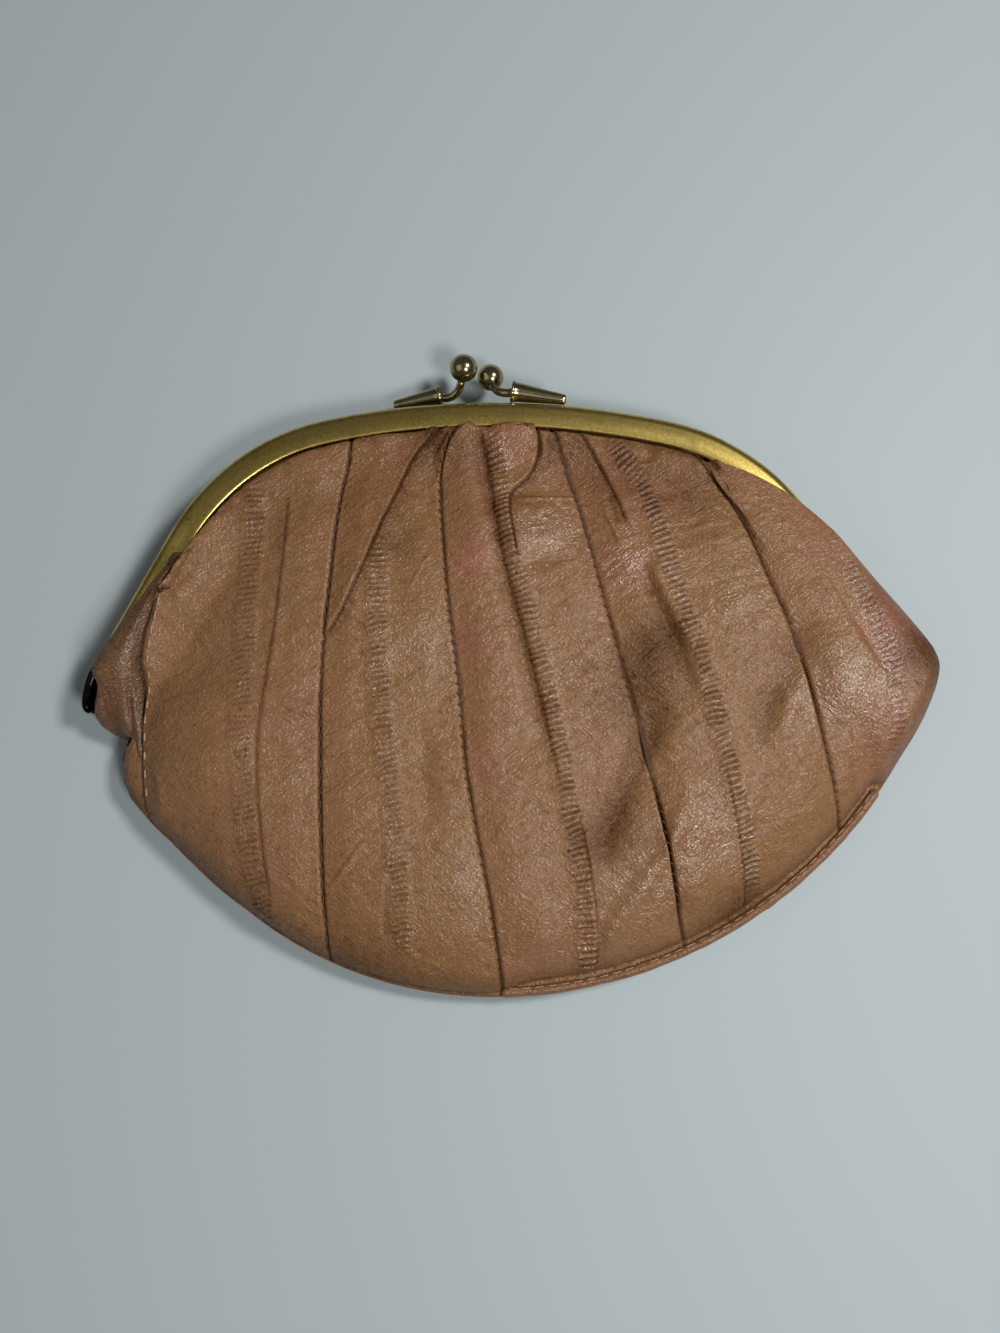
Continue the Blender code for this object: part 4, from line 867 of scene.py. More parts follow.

# The sewn strips: mesh steps, the rolled edge beside a seam, puckers between stitches, and how far the
# relief, the painted shade at the mouth, the dark bottom edge and seams, and the polish reach
strips = {
    "columnStep": 0.34 * mm, "rowStep": 0.29 * mm, "backStep": 0.8 * mm, "seamGap": 0.04 * mm,
    "edgeSteps": [0, 0.03, 0.1, 0.22, 0.38, 0.6, 0.85], "rollWidth": 0.75 * mm, "rollDepth": 0.26 * mm,
    "stitchPitch": 1.9 * mm, "pucker": 0.09 * mm, "puckerRun": 1.5 * mm, "puckerSlant": 0.7,
    "puckerCell": 4 * mm, "puckerWander": 0.4, "wanderCell": 5 * mm,
    "frameClear": 0.5 * mm, "frameFade": 1.5 * mm, "edgeFade": 4 * mm, "wrinkleClear": 1.2 * mm,
    "crestFlat": 0.6, "crestPolish": 0.8, "tintLess": 0.1, "shadeLess": 0.1,
    "mouthShade": 0.35, "mouthShadeFrom": 1 * mm, "mouthShadeRun": 4 * mm, "mouthShadeEnd": 4.9,
    "edgeShade": 0.4, "edgeShadeRun": 9 * mm, "seamShade": 0.3, "seamShadeRun": 0.6 * mm,
}


def shellFrom(name, base, relief, fromRim, thick, material, values, flip=False):
    # a closed shell: the base moved by the relief along its normals, and again by the thickness, both
    # brought together at the rim in elliptic quarters
    normal = gridNormals(base) * (-1 if flip else 1)
    half = thick / 2
    rim = quarter(fromRim / half)
    outer = base + normal * (relief * rim - half * (1 - rim))[..., None]
    inner = base + normal * (relief * rim - thick + half * (1 - rim))[..., None]
    return closedShell(name, outer, inner, material, values, flip)


def stripPiece(name, height, fromSeam, toSeam, material, number, start=(0, 0)):
    # The panel's surface between two seams. Its relief is folds, wrinkles, the rib and a cosine of
    # puckers along the seams, less a roll at the sides; they fade towards the frame and the edge.
    front = height is frontHeight
    width = float(np.hypot(*(np.array(panelPlace(toSeam, 0.5)) - np.array(panelPlace(fromSeam, 0.5)))))
    length = float(panelLength((fromSeam + toSeam) / 2)) * (1 - min(start))
    step = (strips["columnStep"], strips["rowStep"]) if front else (strips["backStep"], strips["backStep"])
    s, q = stations(width, step[0], strips["edgeSteps"]), stations(length, step[1], strips["edgeSteps"])
    gap = strips["seamGap"] / 2 / width
    k = np.repeat(mix(fromSeam, toSeam, mix(gap, 1 - gap, s))[None, :], len(q), axis=0)
    first = mix(start[0], start[1], s)[None, :]
    v = mix(first, 1.0, q[:, None])
    base = sheetPoints(height, k, v)
    x, y = base[..., 0], base[..., 1]
    run = frameFrom(x, y)[0] - purse["bandWidth"]
    fromSide = nearEnd(s)[None, :] * np.hypot(x[:, -1:] - x[:, :1], y[:, -1:] - y[:, :1])
    lengths = panelLength(k)
    toEdge = (1 - v) * lengths
    fromEnd = np.minimum(v - first, 1 - v) * lengths
    soft, fine, tint, shade, crests = (np.zeros_like(x) for _ in range(5))
    if front:
        free = smooth((run + strips["frameClear"]) / strips["frameFade"])
        free = free * smooth(toEdge / strips["edgeFade"])
        soft, shade = softRelief(x, y)
        soft, shade = soft * free, shade * free
        fine = wrinkleRelief(x, y)
        if number:
            ribs, gapShade, crests = ribRelief(number, x, y)
            fine = fine * (1 - strips["crestFlat"] * crests) + ribs
            # painted shade in the gaps between the rib's bars
            shade = shade + gapShade
        cell, wander = strips["puckerCell"], strips["wanderCell"]
        uneven = 0.6 + 0.4 * noise(x / cell, y / cell, 32)
        turn = (v * lengths + strips["puckerSlant"] * fromSide) / strips["stitchPitch"]
        turn = turn + strips["puckerWander"] * noise(x / wander, y / wander, 31)
        puckers = np.cos(2 * pi * turn) * np.exp(-fromSide / strips["puckerRun"]) * uneven
        fine = (fine * smooth(fromSide / strips["wrinkleClear"]) + strips["pucker"] * puckers) * free
        tint = patches(x, y, pinkPatches) - strips["tintLess"]
        shade = shade + patches(x, y, toneAndShadePatches) - strips["shadeLess"]
        # painted shade where the leather goes into the mouth; darker towards the bottom edge and beside the
        # seams
        inMouth = 1 - smooth((run + strips["mouthShadeFrom"]) / strips["mouthShadeRun"])
        shade = shade + strips["mouthShade"] * inMouth * (k < strips["mouthShadeEnd"])
        shade = shade + strips["edgeShade"] * (1 - smooth(toEdge / strips["edgeShadeRun"]))
        base = bulgeOverLip(base)
    shade = np.clip(shade + strips["seamShade"] * (1 - smooth(fromSide / strips["seamShadeRun"])), 0, 1)
    polish = np.clip(patches(x, y, polishedPatches) + strips["crestPolish"] * crests, 0, 1)
    relief = soft + fine - strips["rollDepth"] * (1 - smooth(fromSide / strips["rollWidth"]))
    return shellFrom(name, base, relief, np.minimum(fromSide, fromEnd), purse["leather"], material,
                     {"tint": tint, "shade": shade, "polish": polish}, flip=not front)


def resample(line, count):
    # even steps along a line of points
    line = np.array(line, float)
    run = runAlong(line)
    even = np.linspace(0, run[-1], count)
    return np.stack([np.interp(even, run, line[:, axis]) for axis in range(3)], axis=1)


def eased(line, count, passes=12):
    return soften(resample(line, count), passes)


def lofted(lines, places, rows, columns, passes):
    # a sheet through control lines that run down it, straight between two of them and then evened out
    controls = np.stack([eased(line, rows) for line in lines], axis=1)
    s = np.linspace(0, 1, columns)
    i = np.clip(np.searchsorted(places, s, side="right") - 1, 0, len(places) - 2)
    places = np.array(places)
    share = ((s - places[i]) / (places[i + 1] - places[i]))[None, :, None]
    sheet = mix(controls[:, i], controls[:, i + 1], share)
    soften(np.swapaxes(sheet, 0, 1), passes)
    return sheet


def pixelLine(points):
    # pixels with heights in millimetres
    points = np.array(points, float)
    x, y = photoPlace(points[:, :2], points[:, 2] * mm)
    return np.stack([x, y, points[:, 2] * mm], axis=1)


leathers = [pinkBrown, olive, mauve, olive, mauve]


def bends(made, node):
    # for pieces across the hinge line, between the pouch and the front frame: hides the part's solid and
    # bakes the piece's place into its mesh
    if node is not None:
        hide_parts(node)
    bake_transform(made)


def rides(made, node, body="pouch"):
    if node is not None:
        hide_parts(node)
    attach(made, body)


for number in range(1, 6):
    bends(stripPiece(f"frontStrip{number}", frontHeight, number, number + 1, leathers[number - 1], number),
          f"front_strip_{number}")
    rides(stripPiece(f"backStrip{number}", backHeight, number if number > 1 else 0, number + 1,
                     leathers[number - 1], number), f"back_strip_{number}")


# The left gusset rolls out over the leg and hangs free below the hinge. Its outline is a share of half
# the frame, an inset and a height in millimetres along the leg, then pixels with a height.
gusset = {
    "leg": [(-0.725, 4.4, 11.2), (-0.745, 3.2, 12.9), (-0.79, 2.2, 13.4), (-0.84, 1.6, 13.5),
            (-0.89, 1.0, 13.5), (-0.935, 0.5, 13.4), (-0.97, 0.2, 13.3), (-1.0, 0.2, 13.1)],
    "free": [(97, 684, 12.6), (96, 694, 11.8), (93, 706, 10.6), (94, 717, 9.0), (101, 727, 7.4),
             (114, 736, 5.8), (132, 744, 4.4)],
    # two hidden lines under the roll: inset in the frame, step beside the free edge, height and drop
    "under": (2.6 * mm, 1.8 * mm, 10.3 * mm, 2.6 * mm), "lip": (5.3 * mm, 0.6 * mm, 11.9 * mm, 1.5 * mm),
    "freeWay": (0.9, 0.43), "roll": 1.6 * mm, "rollRise": 0.8 * mm, "puff": 0.9 * mm,
    "seamStart": 0.01, "seamEnd": 0.80, "seamPoints": 60, "places": [0, 0.12, 0.26, 0.42, 0.72, 1],
    "thick": 0.8 * mm, "rows": 190, "columns": 96, "long": 42 * mm, "wide": 12 * mm,
    # pleats: turn, cell length and width, height, seed, and the y where they begin and their run
    "pleats": [(84, 12 * mm, 1.8 * mm, 0.65 * mm, 51, 20 * mm, 16 * mm),
               (92, 9 * mm, 0.9 * mm, 0.26 * mm, 52, 7 * mm, 9 * mm)],
    "sink": 0.3 * mm, "polish": 0.55,
}


def gussetPiece():
    # lofted through six lines, from under the roll over the outline to the first seam, with pleats of
    # stretched noise that grow towards the hinge
    leg = np.array(gusset["leg"])
    onFrame = np.stack([*framePoint(leg[:, 0] * halfLength, leg[:, 1] * mm), leg[:, 2] * mm], axis=1)
    outline = np.concatenate([onFrame, pixelLine(gusset["free"])])
    _, share, outX, outY = frameFrom(outline[:, 0], outline[:, 1])
    onLeg = (np.arange(len(outline)) < len(leg))[:, None]
    inward = np.where(onLeg, np.stack([-outX, -outY], axis=1), [gusset["freeWay"]])
    level = outline[:, 2]

    def beside(inset, step, legHeight, drop):
        # inside the frame along the leg, and beside the outline below it
        onFrame = np.stack([*framePoint(share * halfLength, inset), np.full(len(share), legHeight)], axis=1)
        free = np.column_stack([outline[:, :2] + inward * step, level - drop])
        return np.where(onLeg, onFrame, free)

    top = np.column_stack([outline[:, :2] + inward * gusset["roll"], level + gusset["rollRise"]])
    v = np.linspace(gusset["seamStart"], gusset["seamEnd"], gusset["seamPoints"])
    seam = bulgeOverLip(sheetPoints(frontHeight, 1 - strips["seamGap"] / 20 / mm, v))
    middle = mix(eased(top, gusset["seamPoints"]), seam, 0.5) + [0, 0, gusset["puff"]]
    lines = [beside(*gusset["under"]), beside(*gusset["lip"]), outline, top, middle, seam]
    base = lofted(lines, gusset["places"], gusset["rows"], gusset["columns"], 20)
    x, y = base[..., 0], base[..., 1]
    s = np.linspace(0, 1, gusset["columns"])[None, :]
    q = np.linspace(0, 1, gusset["rows"])[:, None]
    waves = 0
    for turn, long, short, height, seed, begin, run in gusset["pleats"]:
        waves = waves + height * turnedNoise(x, y, turn, long, short, seed) * smooth((begin - y) / run)
    fromRim = np.minimum(nearEnd(q) * gusset["long"], nearEnd(s) * gusset["wide"])
    relief = waves * smooth((s - 0.2) / 0.2) * smooth((1 - s) / 0.08)
    relief = relief - gusset["sink"] * (1 - smooth((1 - s) * 12))
    # painted shade: dark beside the seam, under the roll and high on the leg, darker in the pleats' hollows
    # and lighter on their ridges
    shade = np.clip(0.15 + 0.45 * (1 - smooth((1 - s) * 9)) + 0.5 * (1 - smooth(s / 0.3)) + 0 * x
                    + 0.2 * (1 - smooth((12 * mm - y) / (14 * mm))) - 0.5 * waves / mm, 0, 1)
    return shellFrom("leftGusset", base, relief, fromRim, gusset["thick"], gussetSkin,
                     {"tint": np.zeros_like(x), "shade": shade, "polish": np.full_like(x, gusset["polish"])})


bends(gussetPiece(), "left_gusset")
# The first strip's turned edge along the gusset: from and to seam, and where it starts down the panel
turned = {"from": 0.02, "to": 1, "start": (0.955, 0.665)}
bends(stripPiece("frontTurnedEdge", frontHeight, turned["from"], turned["to"], pinkBrown, 0, turned["start"]),
      None)
print("strips made")


def wallFaces(index):
    # the four-sided faces between rings of points, each ring closed on itself
    ahead = np.roll(index, -1, axis=1)
    return np.stack([index[:-1], index[1:], ahead[1:], ahead[:-1]], axis=-1).reshape(-1, 4)


def ringMesh(name, rings, first, last, material):
    # a closed skin over rings of points, with a pole at each end
    count, size = rings.shape[:2]
    index = np.arange(count * size).reshape(count, size)
    ahead = np.roll(index, -1, axis=1)
    poles = [[count * size, a, b] for a, b in zip(index[0], ahead[0])]
    poles += [[count * size + 1, b, a] for a, b in zip(index[-1], ahead[-1])]
    points = np.concatenate([rings.reshape(-1, 3), [first, last]])
    faces = wallFaces(index).tolist() + [[int(n) for n in face] for face in poles]
    return newObject(name, points.tolist(), faces, material)


def tubeRings(path, wide, tall, sides, reference=(0, 0, 1)):
    # ellipses square to a path: half widths sideways, and towards the reference direction
    path = np.array(path, float)
    way = unit(np.gradient(path, axis=0))
    side = unit(np.cross(way, reference))
    up = np.cross(side, way)
    turn = np.linspace(0, 2 * pi, sides, endpoint=False)
    wide, tall = (np.broadcast_to(size, len(path))[:, None, None] for size in (wide, tall))
    return path[:, None] + wide * np.cos(turn)[None, :, None] * side[:, None] \
        + tall * np.sin(turn)[None, :, None] * up[:, None]


def roundedTube(name, line, count, wide, tall, sides, material, reference=(0, 0, 1), blunt=6):
    # a bent bar: ellipses along an eased path, drawn in at both ends in elliptic quarters
    path = eased(line, count)
    share = np.linspace(0, 1, count)
    end = np.maximum(quarter(nearEnd(share) * blunt), 0.05)
    wide, tall = np.interp(share, *wide) * end, np.interp(share, *tall) * end
    return ringMesh(name, tubeRings(path, wide, tall, sides, reference), path[0], path[-1], material)


def turnedPiece(name, start, finish, profile, sides, material, reference=(0, 0, 1)):
    # a lathe shape: distance along the axis and radius
    start, finish = np.array(start, float), np.array(finish, float)
    along, radius = np.array(profile).T
    way = unit(finish - start)
    side = unit(np.cross(way, reference))
    up = np.cross(side, way)
    turn = np.linspace(0, 2 * pi, sides, endpoint=False)
    circle = np.cos(turn)[:, None] * side + np.sin(turn)[:, None] * up
    rings = start + along[1:-1, None, None] * way + radius[1:-1, None, None] * circle[None]
    return ringMesh(name, rings, start + along[0] * way, start + along[-1] * way, material)


# Stitches: short rounded bars that lie across or along a seam
stitch = {"pitch": 1.9 * mm, "cross": 1.15 * mm, "dash": 1.5 * mm, "radius": 0.18 * mm, "fine": 0.12 * mm,
          "dashPitch": 2.4 * mm, "slant": 50, "uneven": 14, "upperEnd": 7 * mm, "lowerEnd": 1.6 * mm}


def stitchMesh(name, centres, ways, length, radius, material):
    # one mesh of small capsules, each four rings: a narrow one at both ends and two full ones between
    sides, shape = 6, np.array([(-1, 0.35), (-0.75, 1), (0.75, 1), (1, 0.35)])
    ways = unit(ways)
    side = unit(np.cross(ways, [0, 0, 1.0]))
    up = np.cross(side, ways)
    turn = np.linspace(0, 2 * pi, sides, endpoint=False)
    circle = np.cos(turn)[None, :, None] * side[:, None] + np.sin(turn)[None, :, None] * up[:, None]
    rings = centres[:, None, None] + shape[None, :, 0, None, None] * ways[:, None, None] * length / 2 \
        + shape[None, :, 1, None, None] * radius * circle[:, None]
    index = np.arange(len(shape) * sides).reshape(len(shape), sides)
    one = wallFaces(index).tolist() + [index[0].tolist(), index[-1][::-1].tolist()]
    faces = [[number * index.size + n for n in face] for number in range(len(centres)) for face in one]
    return newObject(name, rings.reshape(-1, 3).tolist(), faces, material)


def seamLine(height, number, v, aside=0.0):
    # points on a seam, on the finished surface
    length = panelLength(float(number))
    line = sheetPoints(height, number + aside, v)
    if height is frontHeight:
        relief = softRelief(line[..., 0], line[..., 1])[0]
        free = smooth((1 - v) * length / strips["edgeFade"])
        line = bulgeOverLip(line)
        line[..., 2] += relief * free
    return line


def seamStitches(name, height, number, dashes, material, lift, aside=0.0):
    # dashes along the seam, or short bars across it at an uneven slant, in even steps
    length = float(panelLength(float(number)))
    pitch = stitch["dashPitch"] if dashes else stitch["pitch"]
    count = int((length - stitch["upperEnd"] - stitch["lowerEnd"]) / pitch)
    v = (stitch["upperEnd"] + pitch * np.arange(count)) / length
    line = seamLine(height, number, v, aside)
    way = unit(np.gradient(line, axis=0))
    outside = 1 if height is frontHeight else -1
    line[:, 2] += outside * lift
    if not dashes:
        lean = noise(np.arange(len(v)) * 0.7, np.zeros(len(v)), 61 + number)
        turn = np.radians(stitch["slant"] + stitch["uneven"] * lean)
        across = np.stack([-way[:, 1], way[:, 0], np.zeros(len(v))], axis=1)
        way = way * np.cos(turn)[:, None] + across * np.sin(turn)[:, None]
    size = stitch["dash"] if dashes else stitch["cross"]
    return stitchMesh(name, line, way, size, stitch["radius" if dashes else "fine"], material)


# The turned-in edges meet in a bead below each front seam, so that no light comes through it
bead = {"deep": 0.85 * mm, "radius": 0.4 * mm, "start": 0.006, "end": 0.985, "rings": 240, "sides": 8}


def seamBeads():
    # a round tube below each seam, at an even depth under the panel's surface
    v = np.linspace(bead["start"], bead["end"], bead["rings"])[:, None]
    beside = np.array([[-0.02, 0.0, 0.02]])
    verts, faces = [], []
    for number in range(1, 6):
        sheet = bulgeOverLip(sheetPoints(frontHeight, number + beside, v))
        path = (sheet - bead["deep"] * gridNormals(sheet))[:, 1]
        rings = tubeRings(path, bead["radius"], bead["radius"], bead["sides"]).reshape(-1, 3)
        index = len(verts) * len(rings) + np.arange(len(rings)).reshape(bead["rings"], bead["sides"])
        faces += [*wallFaces(index).tolist(), index[0].tolist(), index[-1][::-1].tolist()]
        verts.append(rings)
    return newObject("seamBeads", np.concatenate(verts).tolist(), faces, threadBrown)


bends(seamBeads(), None)
# Front seams: dashes or not, thread, lift above the leather and step aside in panel numbers
frontSeams = {1: (True, threadPale, 0.18 * mm, 0.03), 2: (True, threadBrown, -0.35 * mm, 0.0),
              3: (False, threadBrown, -0.12 * mm, 0.0), 4: (False, threadBrown, -0.12 * mm, 0.0),
              5: (False, threadBrown, -0.12 * mm, 0.0)}
for number, look in frontSeams.items():
    bends(seamStitches(f"frontStitches{number}", frontHeight, number, *look), f"front_seam_thread_{number}")
for number in range(1, 5):
    rides(seamStitches(f"backStitches{number}", backHeight, number + 1, True, threadBrown, -0.18 * mm),
          f"back_seam_thread_{number}")
print("stitches made")

# Binding tape round the lower right edge, with pale top stitching
tape = {"from": 2.98, "to": 5.3, "inside": 0.9 * mm, "wide": 1.05 * mm, "tall": 2.0 * mm, "height": 5.15 * mm,
        "count": 420, "sides": 22, "endRun": 1.2 * mm, "jointAt": 52 * mm, "jointRun": 0.5 * mm,
        "joint": 0.10, "uneven": [(0.06, 2.3 * mm, 71), (0.05, 7 * mm, 72)],
        "look": {"tint": 0.4, "shade": 0.1, "polish": 0.2}, "pitch": 2.3 * mm, "stitched": 80 * mm,
        "stitchInside": 0.6 * mm, "stitchRise": 0.84,
        "stitchLength": 1.7 * mm, "stitchRadius": 0.12 * mm}


def tapeLine(count, inside):
    # the bottom edge, moved square to itself
    x, y = panelPlace(np.linspace(tape["from"], tape["to"], count), 1.0)
    dx, dy = np.gradient(x), np.gradient(y)
    size = np.hypot(dx, dy)
    return np.stack([x - inside * dy / size, y + inside * dx / size, np.full(count, tape["height"])], axis=1)


def bindingPiece():
    # an elliptic tube along the edge, a little uneven in width, with rounded ends and a wider lap
    path = tapeLine(tape["count"], tape["inside"])
    run = runAlong(path)
    end = np.maximum(quarter(np.minimum(run, run[-1] - run) / tape["endRun"]), 0.06)
    uneven = 1
    for amount, cell, seed in tape["uneven"]:
        uneven = uneven + amount * noise(run / cell, 0 * run, seed)
    joint = 1 + tape["joint"] * smooth((run - tape["jointAt"]) / tape["jointRun"])
    rings = tubeRings(path, tape["wide"] * end * uneven * joint, tape["tall"] * end * uneven, tape["sides"])
    made = ringMesh("edgeBinding", rings, path[0], path[-1], olive)
    places = np.concatenate([rings.reshape(-1, 3), path[[0, -1]]])
    return paint(made, places, {key: np.full(len(places), value) for key, value in tape["look"].items()})


rides(bindingPiece(), "edge_binding")
path = tapeLine(int(tape["stitched"] / tape["pitch"]), tape["inside"] + tape["stitchInside"])
path[:, 2] += tape["tall"] * tape["stitchRise"]
rides(stitchMesh("bindingStitches", path[1:-1], np.gradient(path, axis=0)[1:-1], tape["stitchLength"],
                 tape["stitchRadius"], threadPale), None)
print("binding made")

# The two brass channels of the frame
channel = {"outerBend": 1.7 * mm, "innerBend": 1.3 * mm, "lipRound": 0.3 * mm, "dome": 0.12 * mm,
           "stations": 260}


def channelProfile():
    # U section as (inward, up): the outside from the lower lip round to the upper lip, in quarter circles
    # with a sine dome on the band, and the inside, which is the outside moved in by the sheet
    outer, under, edge = channel["outerBend"], channel["innerBend"], channel["lipRound"]
    tall, wide, wall = purse["channelHeight"], purse["bandWidth"], purse["brassSheet"]
    turn = np.radians(np.linspace(0, 90, 10))
    low = [(wide, 0.0), (under + 1 * mm, 0.0)]
    low += [(under * (1 - math.sin(a)), under * (1 - math.cos(a))) for a in turn]
    high = [(outer * (1 - math.cos(a)), tall - outer * (1 - math.sin(a))) for a in turn]
    high += [(u, tall + channel["dome"] * math.sin(pi * (u - outer) / (wide - outer)))
             for u in np.linspace(outer, wide - edge, 9)[1:]]
    high += [(wide - edge * (1 - math.sin(a)), tall - edge * (1 - math.cos(a))) for a in turn[2::2]]
    outside = np.array(low + high)
    way = unit(np.gradient(outside, axis=0))
    inside = outside + wall * np.stack([way[:, 1], -way[:, 0]], axis=1)
    inside[:, 0] = np.clip(inside[:, 0], wall, wide)
    inside[:, 1] = np.clip(inside[:, 1], wall, tall - wall)
    return outside, inside


def channelPiece(name, floor, upper):
    # the section carried along the frame's outline, upside down for the lower half
    outside, inside = channelProfile()
    loop = np.concatenate([outside, inside[::-1]])
    if not upper:
        loop = loop * [1, -1] + [0, purse["channelHeight"]]
    travel = np.linspace(-halfLength, halfLength, channel["stations"])
    x, y = framePoint(travel[:, None], loop[None, :, 0])
    z = np.broadcast_to(floor + loop[:, 1], x.shape)
    rings = np.stack([x, y, z], axis=-1)
    count, size = x.shape
    index = np.arange(count * size).reshape(count, size)
    half = size // 2
    one, two = np.arange(half - 1), size - 1 - np.arange(half - 1)
    cap = np.stack([one, one + 1, two - 1, two], axis=-1)
    faces = np.concatenate([wallFaces(index), index[0][cap], index[-1][cap[:, ::-1]]])
    if not upper:
        faces = faces[:, ::-1]
    return newObject(name, rings.reshape(-1, 3).tolist(), faces.tolist(), bandPlate)


rides(channelPiece("frontChannel", frontFloor, True), "front_frame_channel", "front_frame")
rides(channelPiece("backChannel", backCeiling - purse["channelHeight"], False), "back_frame_channel")
print("frame made")

# Clasp: two cones that point apart, two bent stems and two balls, in pixels with heights in millimetres
clasp = {"coneMouth": 1.95 * mm, "coneTip": 1.0 * mm, "rim": 0.14 * mm, "recess": 1.3 * mm, "stem": 0.85 * mm,
         "stemTaper": 0.9, "stemUp": (0.3, 0.2, 1), "sides": 40}
claspHalves = {
    "front": {"body": "front_frame", "arm": "front_ball_arm",
              "cone": [(566, 400, 10.2), (511.5, 391.5, 10.2)],
              "stem": [(515, 392.5, 10.2), (505, 393, 10.0), (498, 391.5, 9.3), (493, 387, 8.3),
                       (491, 380, 7.0)],
              "ball": (490.5, 377.5, 6.5), "radius": 2.52 * mm},
    "back": {"body": "pouch", "arm": "back_ball_arm", "cone": [(394, 406, 5.4), (441, 396, 5.9)],
             "stem": [(437, 397, 5.85), (446, 398.5, 6.0), (453, 396.5, 6.3), (459, 390, 7.2),
                      (462, 380, 8.6)],
             "ball": (463.7, 368.2, 9.5), "radius": 2.64 * mm},
}


def coneProfile(size):
    # distance from the tip and radius: a rounded tip, a widening power curve, a rim and a hollow mouth
    wide, narrow = clasp["coneMouth"], clasp["coneTip"]
    rim, bottom = wide + clasp["rim"], size - clasp["recess"]
    profile = [(0, 0), (0, 0.6 * narrow), (0.08 * mm, 0.88 * narrow), (0.3 * mm, narrow)]
    profile += [(size * a, mix(narrow, wide, a ** 1.1)) for a in np.linspace(0.06, 0.93, 12)]
    profile += [(size - 0.55 * mm, wide), (size - 0.45 * mm, rim), (size - 0.06 * mm, rim), (size, wide)]
    return profile + [(size, wide - 0.3 * mm), (bottom, wide - 0.4 * mm), (bottom, 0)]


for half, parts in claspHalves.items():
    tip, mouth = pixelLine(parts["cone"])
    cone = coneProfile(float(np.linalg.norm(mouth - tip)))
    rides(turnedPiece(f"{half}Cone", tip, mouth, cone, clasp["sides"], claspPlate), f"{half}_clasp_cone",
          parts["body"])
    thick = ([0, 1], [clasp["stem"], clasp["stem"] * clasp["stemTaper"]])
    rides(roundedTube(f"{half}Stem", pixelLine(parts["stem"]), 40, thick, thick, 20, claspPlate,
                      clasp["stemUp"], 12), f"{half}_clasp_stem", parts["arm"])
    centre, radius = pixelLine([parts["ball"]])[0], parts["radius"]
    ball = [(radius * (1 - math.cos(a)), radius * math.sin(a)) for a in np.linspace(0, pi, 26)]
    rides(turnedPiece(f"{half}Ball", centre - [0, radius, 0], centre + [0, radius, 0], ball, clasp["sides"],
                      claspPlate), f"{half}_clasp_ball", parts["arm"])
print("clasp made")

# Hinge ears: curved glossy levers from the cut end of each leg to the rivet
ear = {"line": [(100, 663, 10.6), (94, 673, 10.6), (90.5, 684, 10.2), (88.5, 695, 9.4), (88, 705, 8.5),
                (90, 713, 7.9)], "apart": 0.55 * mm,
       "wide": ([0, 0.3, 0.7, 1], [0.8 * mm, 1.05 * mm, 1.15 * mm, 0.95 * mm]),
       "tall": ([0, 0.5, 1], [0.9 * mm, 1.3 * mm, 2.0 * mm])}
for side, turn in (("left", 1), ("right", -1)):
    line = pixelLine(ear["line"]) * [turn, 1, 1]
    under = line * [1, 1, -1] + [ear["apart"] * turn, 0, 2 * purse["hingeHeight"]]
    for half, points, body in (("front", line, "front_frame"), ("back", under, "pouch")):
        name = f"{half}Ear{side.capitalize()}"
        lever = roundedTube(name, points, 60, ear["wide"], ear["tall"], 24, blackPlate)
        rides(lever, f"{half}_hinge_ear_{side}", body)
# The rivets and crimp cords have no dressed piece: their solids get the finish
for name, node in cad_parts.items():
    finish = {"rivet": blackPlate, "cord": paperCord}.get("rivet" if "rivet" in name else name.split("_")[-1])
    if finish is not None:
        for slot in node.material_slots:
            slot.material = finish

# Linings: slack cloth inside the panels, further in where it is clear of the mouth
lining = {"thick": 0.5 * mm, "inside": 2.2 * mm, "atMouth": 1.3 * mm, "mouthRun": 7 * mm, "clear": 0.7 * mm,
          "columns": 100, "rows": 60, "wave": 0.25 * mm, "lower": -1.5 * mm, "facing": 0.5 * mm,
          "backMargin": 10 * mm, "frontMargin": 7 * mm}


def liningPiece(name, height, fromSeam, toSeam, upper, lower, margin):
    # The panel's surface moved inwards, between the mouth or an upper y and the bottom margin or a lower
    # y, with slow waves of stretched noise.
    front = height is frontHeight
    k = np.linspace(fromSeam, toSeam, lining["columns"])[None, :]
    topY, lowY = panelEnds(k)[1::2]
    lengths = panelLength(k)
    fall = topY - lowY
    start = (purse["bandWidth"] + lining["clear"]) / lengths
    if upper is not None:
        start = np.maximum(start, (topY - upper) / fall)
    end = 1 - margin / lengths if lower is None else (topY - lower) / fall
    v = mix(start, end, np.linspace(0, 1, lining["rows"])[:, None])
    base = sheetPoints(height, k, v)
    x, y = base[..., 0], base[..., 1]
    run = frameFrom(x, y)[0] - purse["bandWidth"]
    inside = mix(lining["atMouth"], lining["inside"], smooth(run / lining["mouthRun"]))
    base[..., 2] += -inside if front else inside
    relief = lining["wave"] * (turnedNoise(x, y, 75, 20 * mm, 5 * mm, 81) - 1)
    width = np.hypot(x[:, 0] - x[:, -1], y[:, 0] - y[:, -1])[:, None]
    rim = np.minimum(np.minimum(k - fromSeam, toSeam - k) / (toSeam - fromSeam) * width,
                     np.minimum(v - start, end - v) * lengths)
    made = shellFrom(name, base, relief, rim, lining["thick"], liningCloth, {}, flip=not front)
    return made


rides(liningPiece("backLining", backHeight, 0.8, 5.25, None, None, lining["backMargin"]), "back_lining")
bends(liningPiece("frontLining", frontHeight, 1.0, 5.25, lining["lower"], None, lining["frontMargin"]),
      "front_lining")
bends(liningPiece("frontFacing", frontHeight, 1.2, 5.12, None, lining["facing"], lining["frontMargin"]),
      "front_lining_facing")

# The right gusset is a fold inside the leg, out of sight: insets and heights in millimetres of the lines
# that it is lofted through, between two shares of half the frame
hiddenFold = {"from": 0.72, "to": 0.92, "lines": [(2.4, 9.8), (5.6, 9.3), (7.6, 7.9), (5.2, 6.1)],
              "places": [0, 0.35, 0.7, 1], "rows": 60, "columns": 40, "long": 20 * mm, "wide": 6 * mm,
              "wave": 0.1 * mm, "thick": 0.8 * mm, "shade": 0.2}


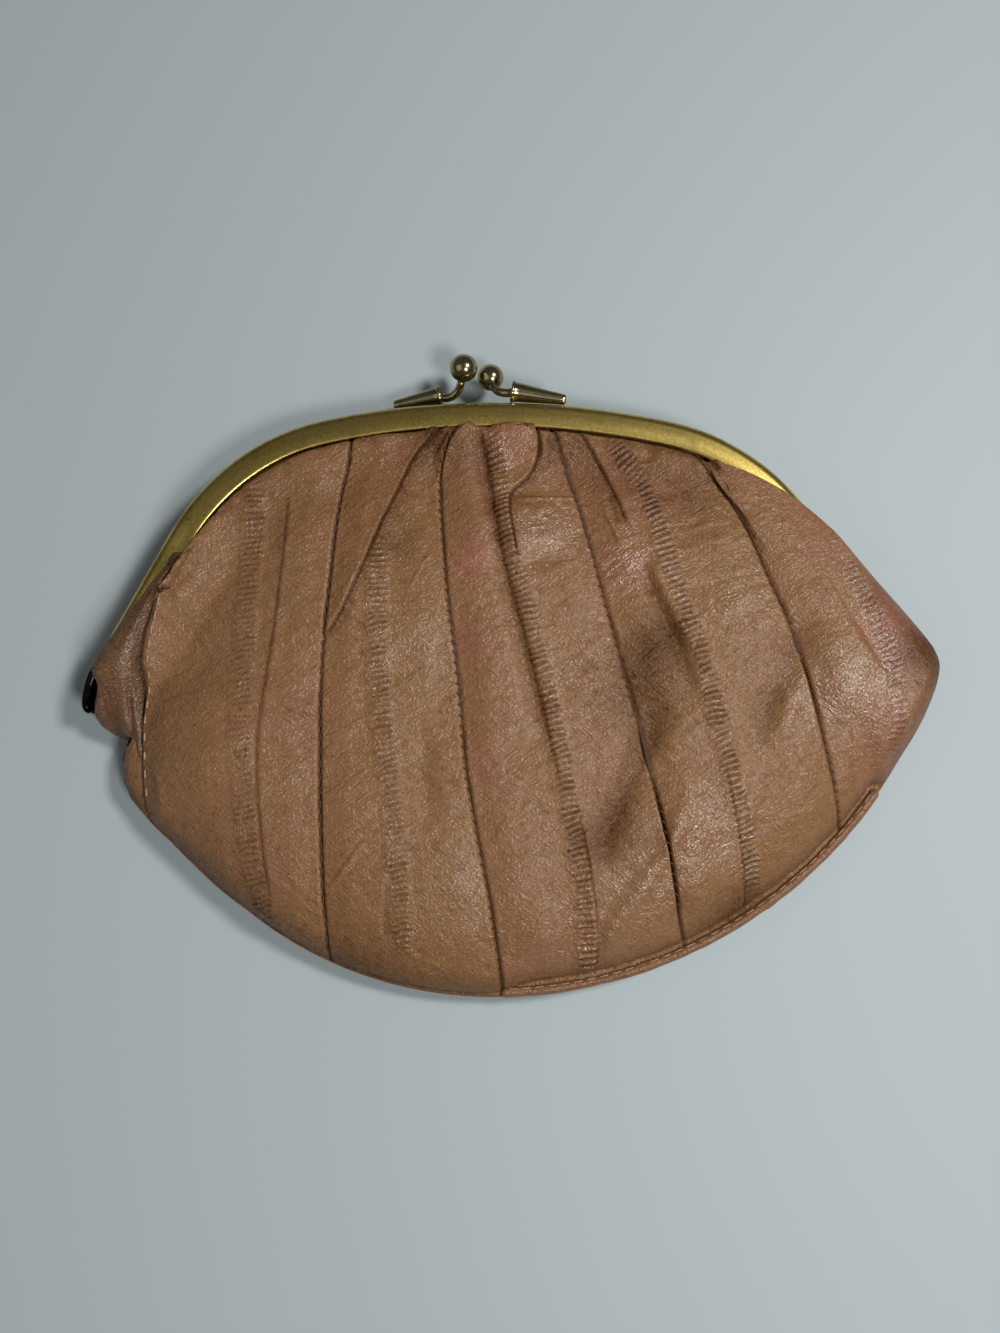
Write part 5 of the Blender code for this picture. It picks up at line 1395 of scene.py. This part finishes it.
def hiddenGusset():
    rows, columns = hiddenFold["rows"], hiddenFold["columns"]
    travel = np.linspace(hiddenFold["from"], hiddenFold["to"], 30) * halfLength
    lines = [np.column_stack([*framePoint(travel, inset * mm), np.full(len(travel), level * mm)])
             for inset, level in hiddenFold["lines"]]
    base = lofted(lines, hiddenFold["places"], rows, columns, 12)
    q, s = np.linspace(0, 1, rows)[:, None], np.linspace(0, 1, columns)[None, :]
    rim = np.minimum(nearEnd(q) * hiddenFold["long"], nearEnd(s) * hiddenFold["wide"])
    relief = hiddenFold["wave"] * turnedNoise(base[..., 0], base[..., 1], 20, 5 * mm, 1.5 * mm, 91)
    blank = np.zeros((rows, columns))
    return shellFrom("rightGusset", base[:, ::-1], relief, rim, hiddenFold["thick"], gussetSkin,
                     {"tint": blank, "shade": blank + hiddenFold["shade"], "polish": blank})


rides(hiddenGusset(), "right_gusset")
print("linings and hidden gusset made")

# Painted table top
table = {"half": 2.0, "colour": "#9FA9AB", "roughness": 0.6}
tableMaterial, tableTree = startMaterial("paintedTable")
tableShader = addNode(tableTree, "BsdfPrincipled", {"Base Color": hexColour(table["colour"]),
                                                    "Roughness": table["roughness"]})
addNode(tableTree, "OutputMaterial", {"Surface": tableShader})
corners = [(-table["half"], -table["half"], 0), (table["half"], -table["half"], 0),
           (table["half"], table["half"], 0), (-table["half"], table["half"], 0)]
newObject("table", corners, [(0, 1, 2, 3)], tableMaterial)

# Lamps: place, size and power
lights = {
    "key": ((0.33, 0.13, 0.555), (0.11, 0.11), 2.8),
    "low": ((0.24, -0.24, 0.58), (0.14, 0.14), 2.1),
    "fill": ((-0.50, -0.10, 0.62), (0.6, 0.6), 0.6),
}
for name, (place, size, power) in lights.items():
    light = bpy.data.lights.new(name, "AREA")
    light.shape = "RECTANGLE"
    light.size, light.size_y = size
    light.energy = power
    lamp = bpy.data.objects.new(name, light)
    lamp.location = place
    lamp.rotation_euler = (-Vector(place)).to_track_quat("-Z", "Y").to_euler()
    bpy.context.scene.collection.objects.link(lamp)
surround = {"colour": "#F2F0EC", "strength": 0.10}
world = bpy.data.worlds.new("studio")
world.use_nodes = True
world.node_tree.nodes["Background"].inputs["Color"].default_value = hexColour(surround["colour"])
world.node_tree.nodes["Background"].inputs["Strength"].default_value = surround["strength"]
bpy.context.scene.world = world
bpy.context.scene.view_settings.view_transform = "Standard"
print("table and lights made")

# The camera looks down from in front of the purse
camera = bpy.data.cameras.new("camera")
camera.sensor_fit = "VERTICAL"
camera.sensor_width, camera.sensor_height = 18.0, 24.0
camera.lens = camera.sensor_height * view["distance"] / view["height"]
camera.clip_start, camera.clip_end = 0.01, 10
cameraObject = bpy.data.objects.new("camera", camera)
tilt = math.radians(view["elevation"])
cameraObject.location = Vector(view["aim"]) + view["distance"] * Vector((0, -math.cos(tilt), math.sin(tilt)))
cameraObject.rotation_euler = (pi / 2 - tilt, 0, 0)
bpy.context.scene.collection.objects.link(cameraObject)
bpy.context.scene.camera = cameraObject
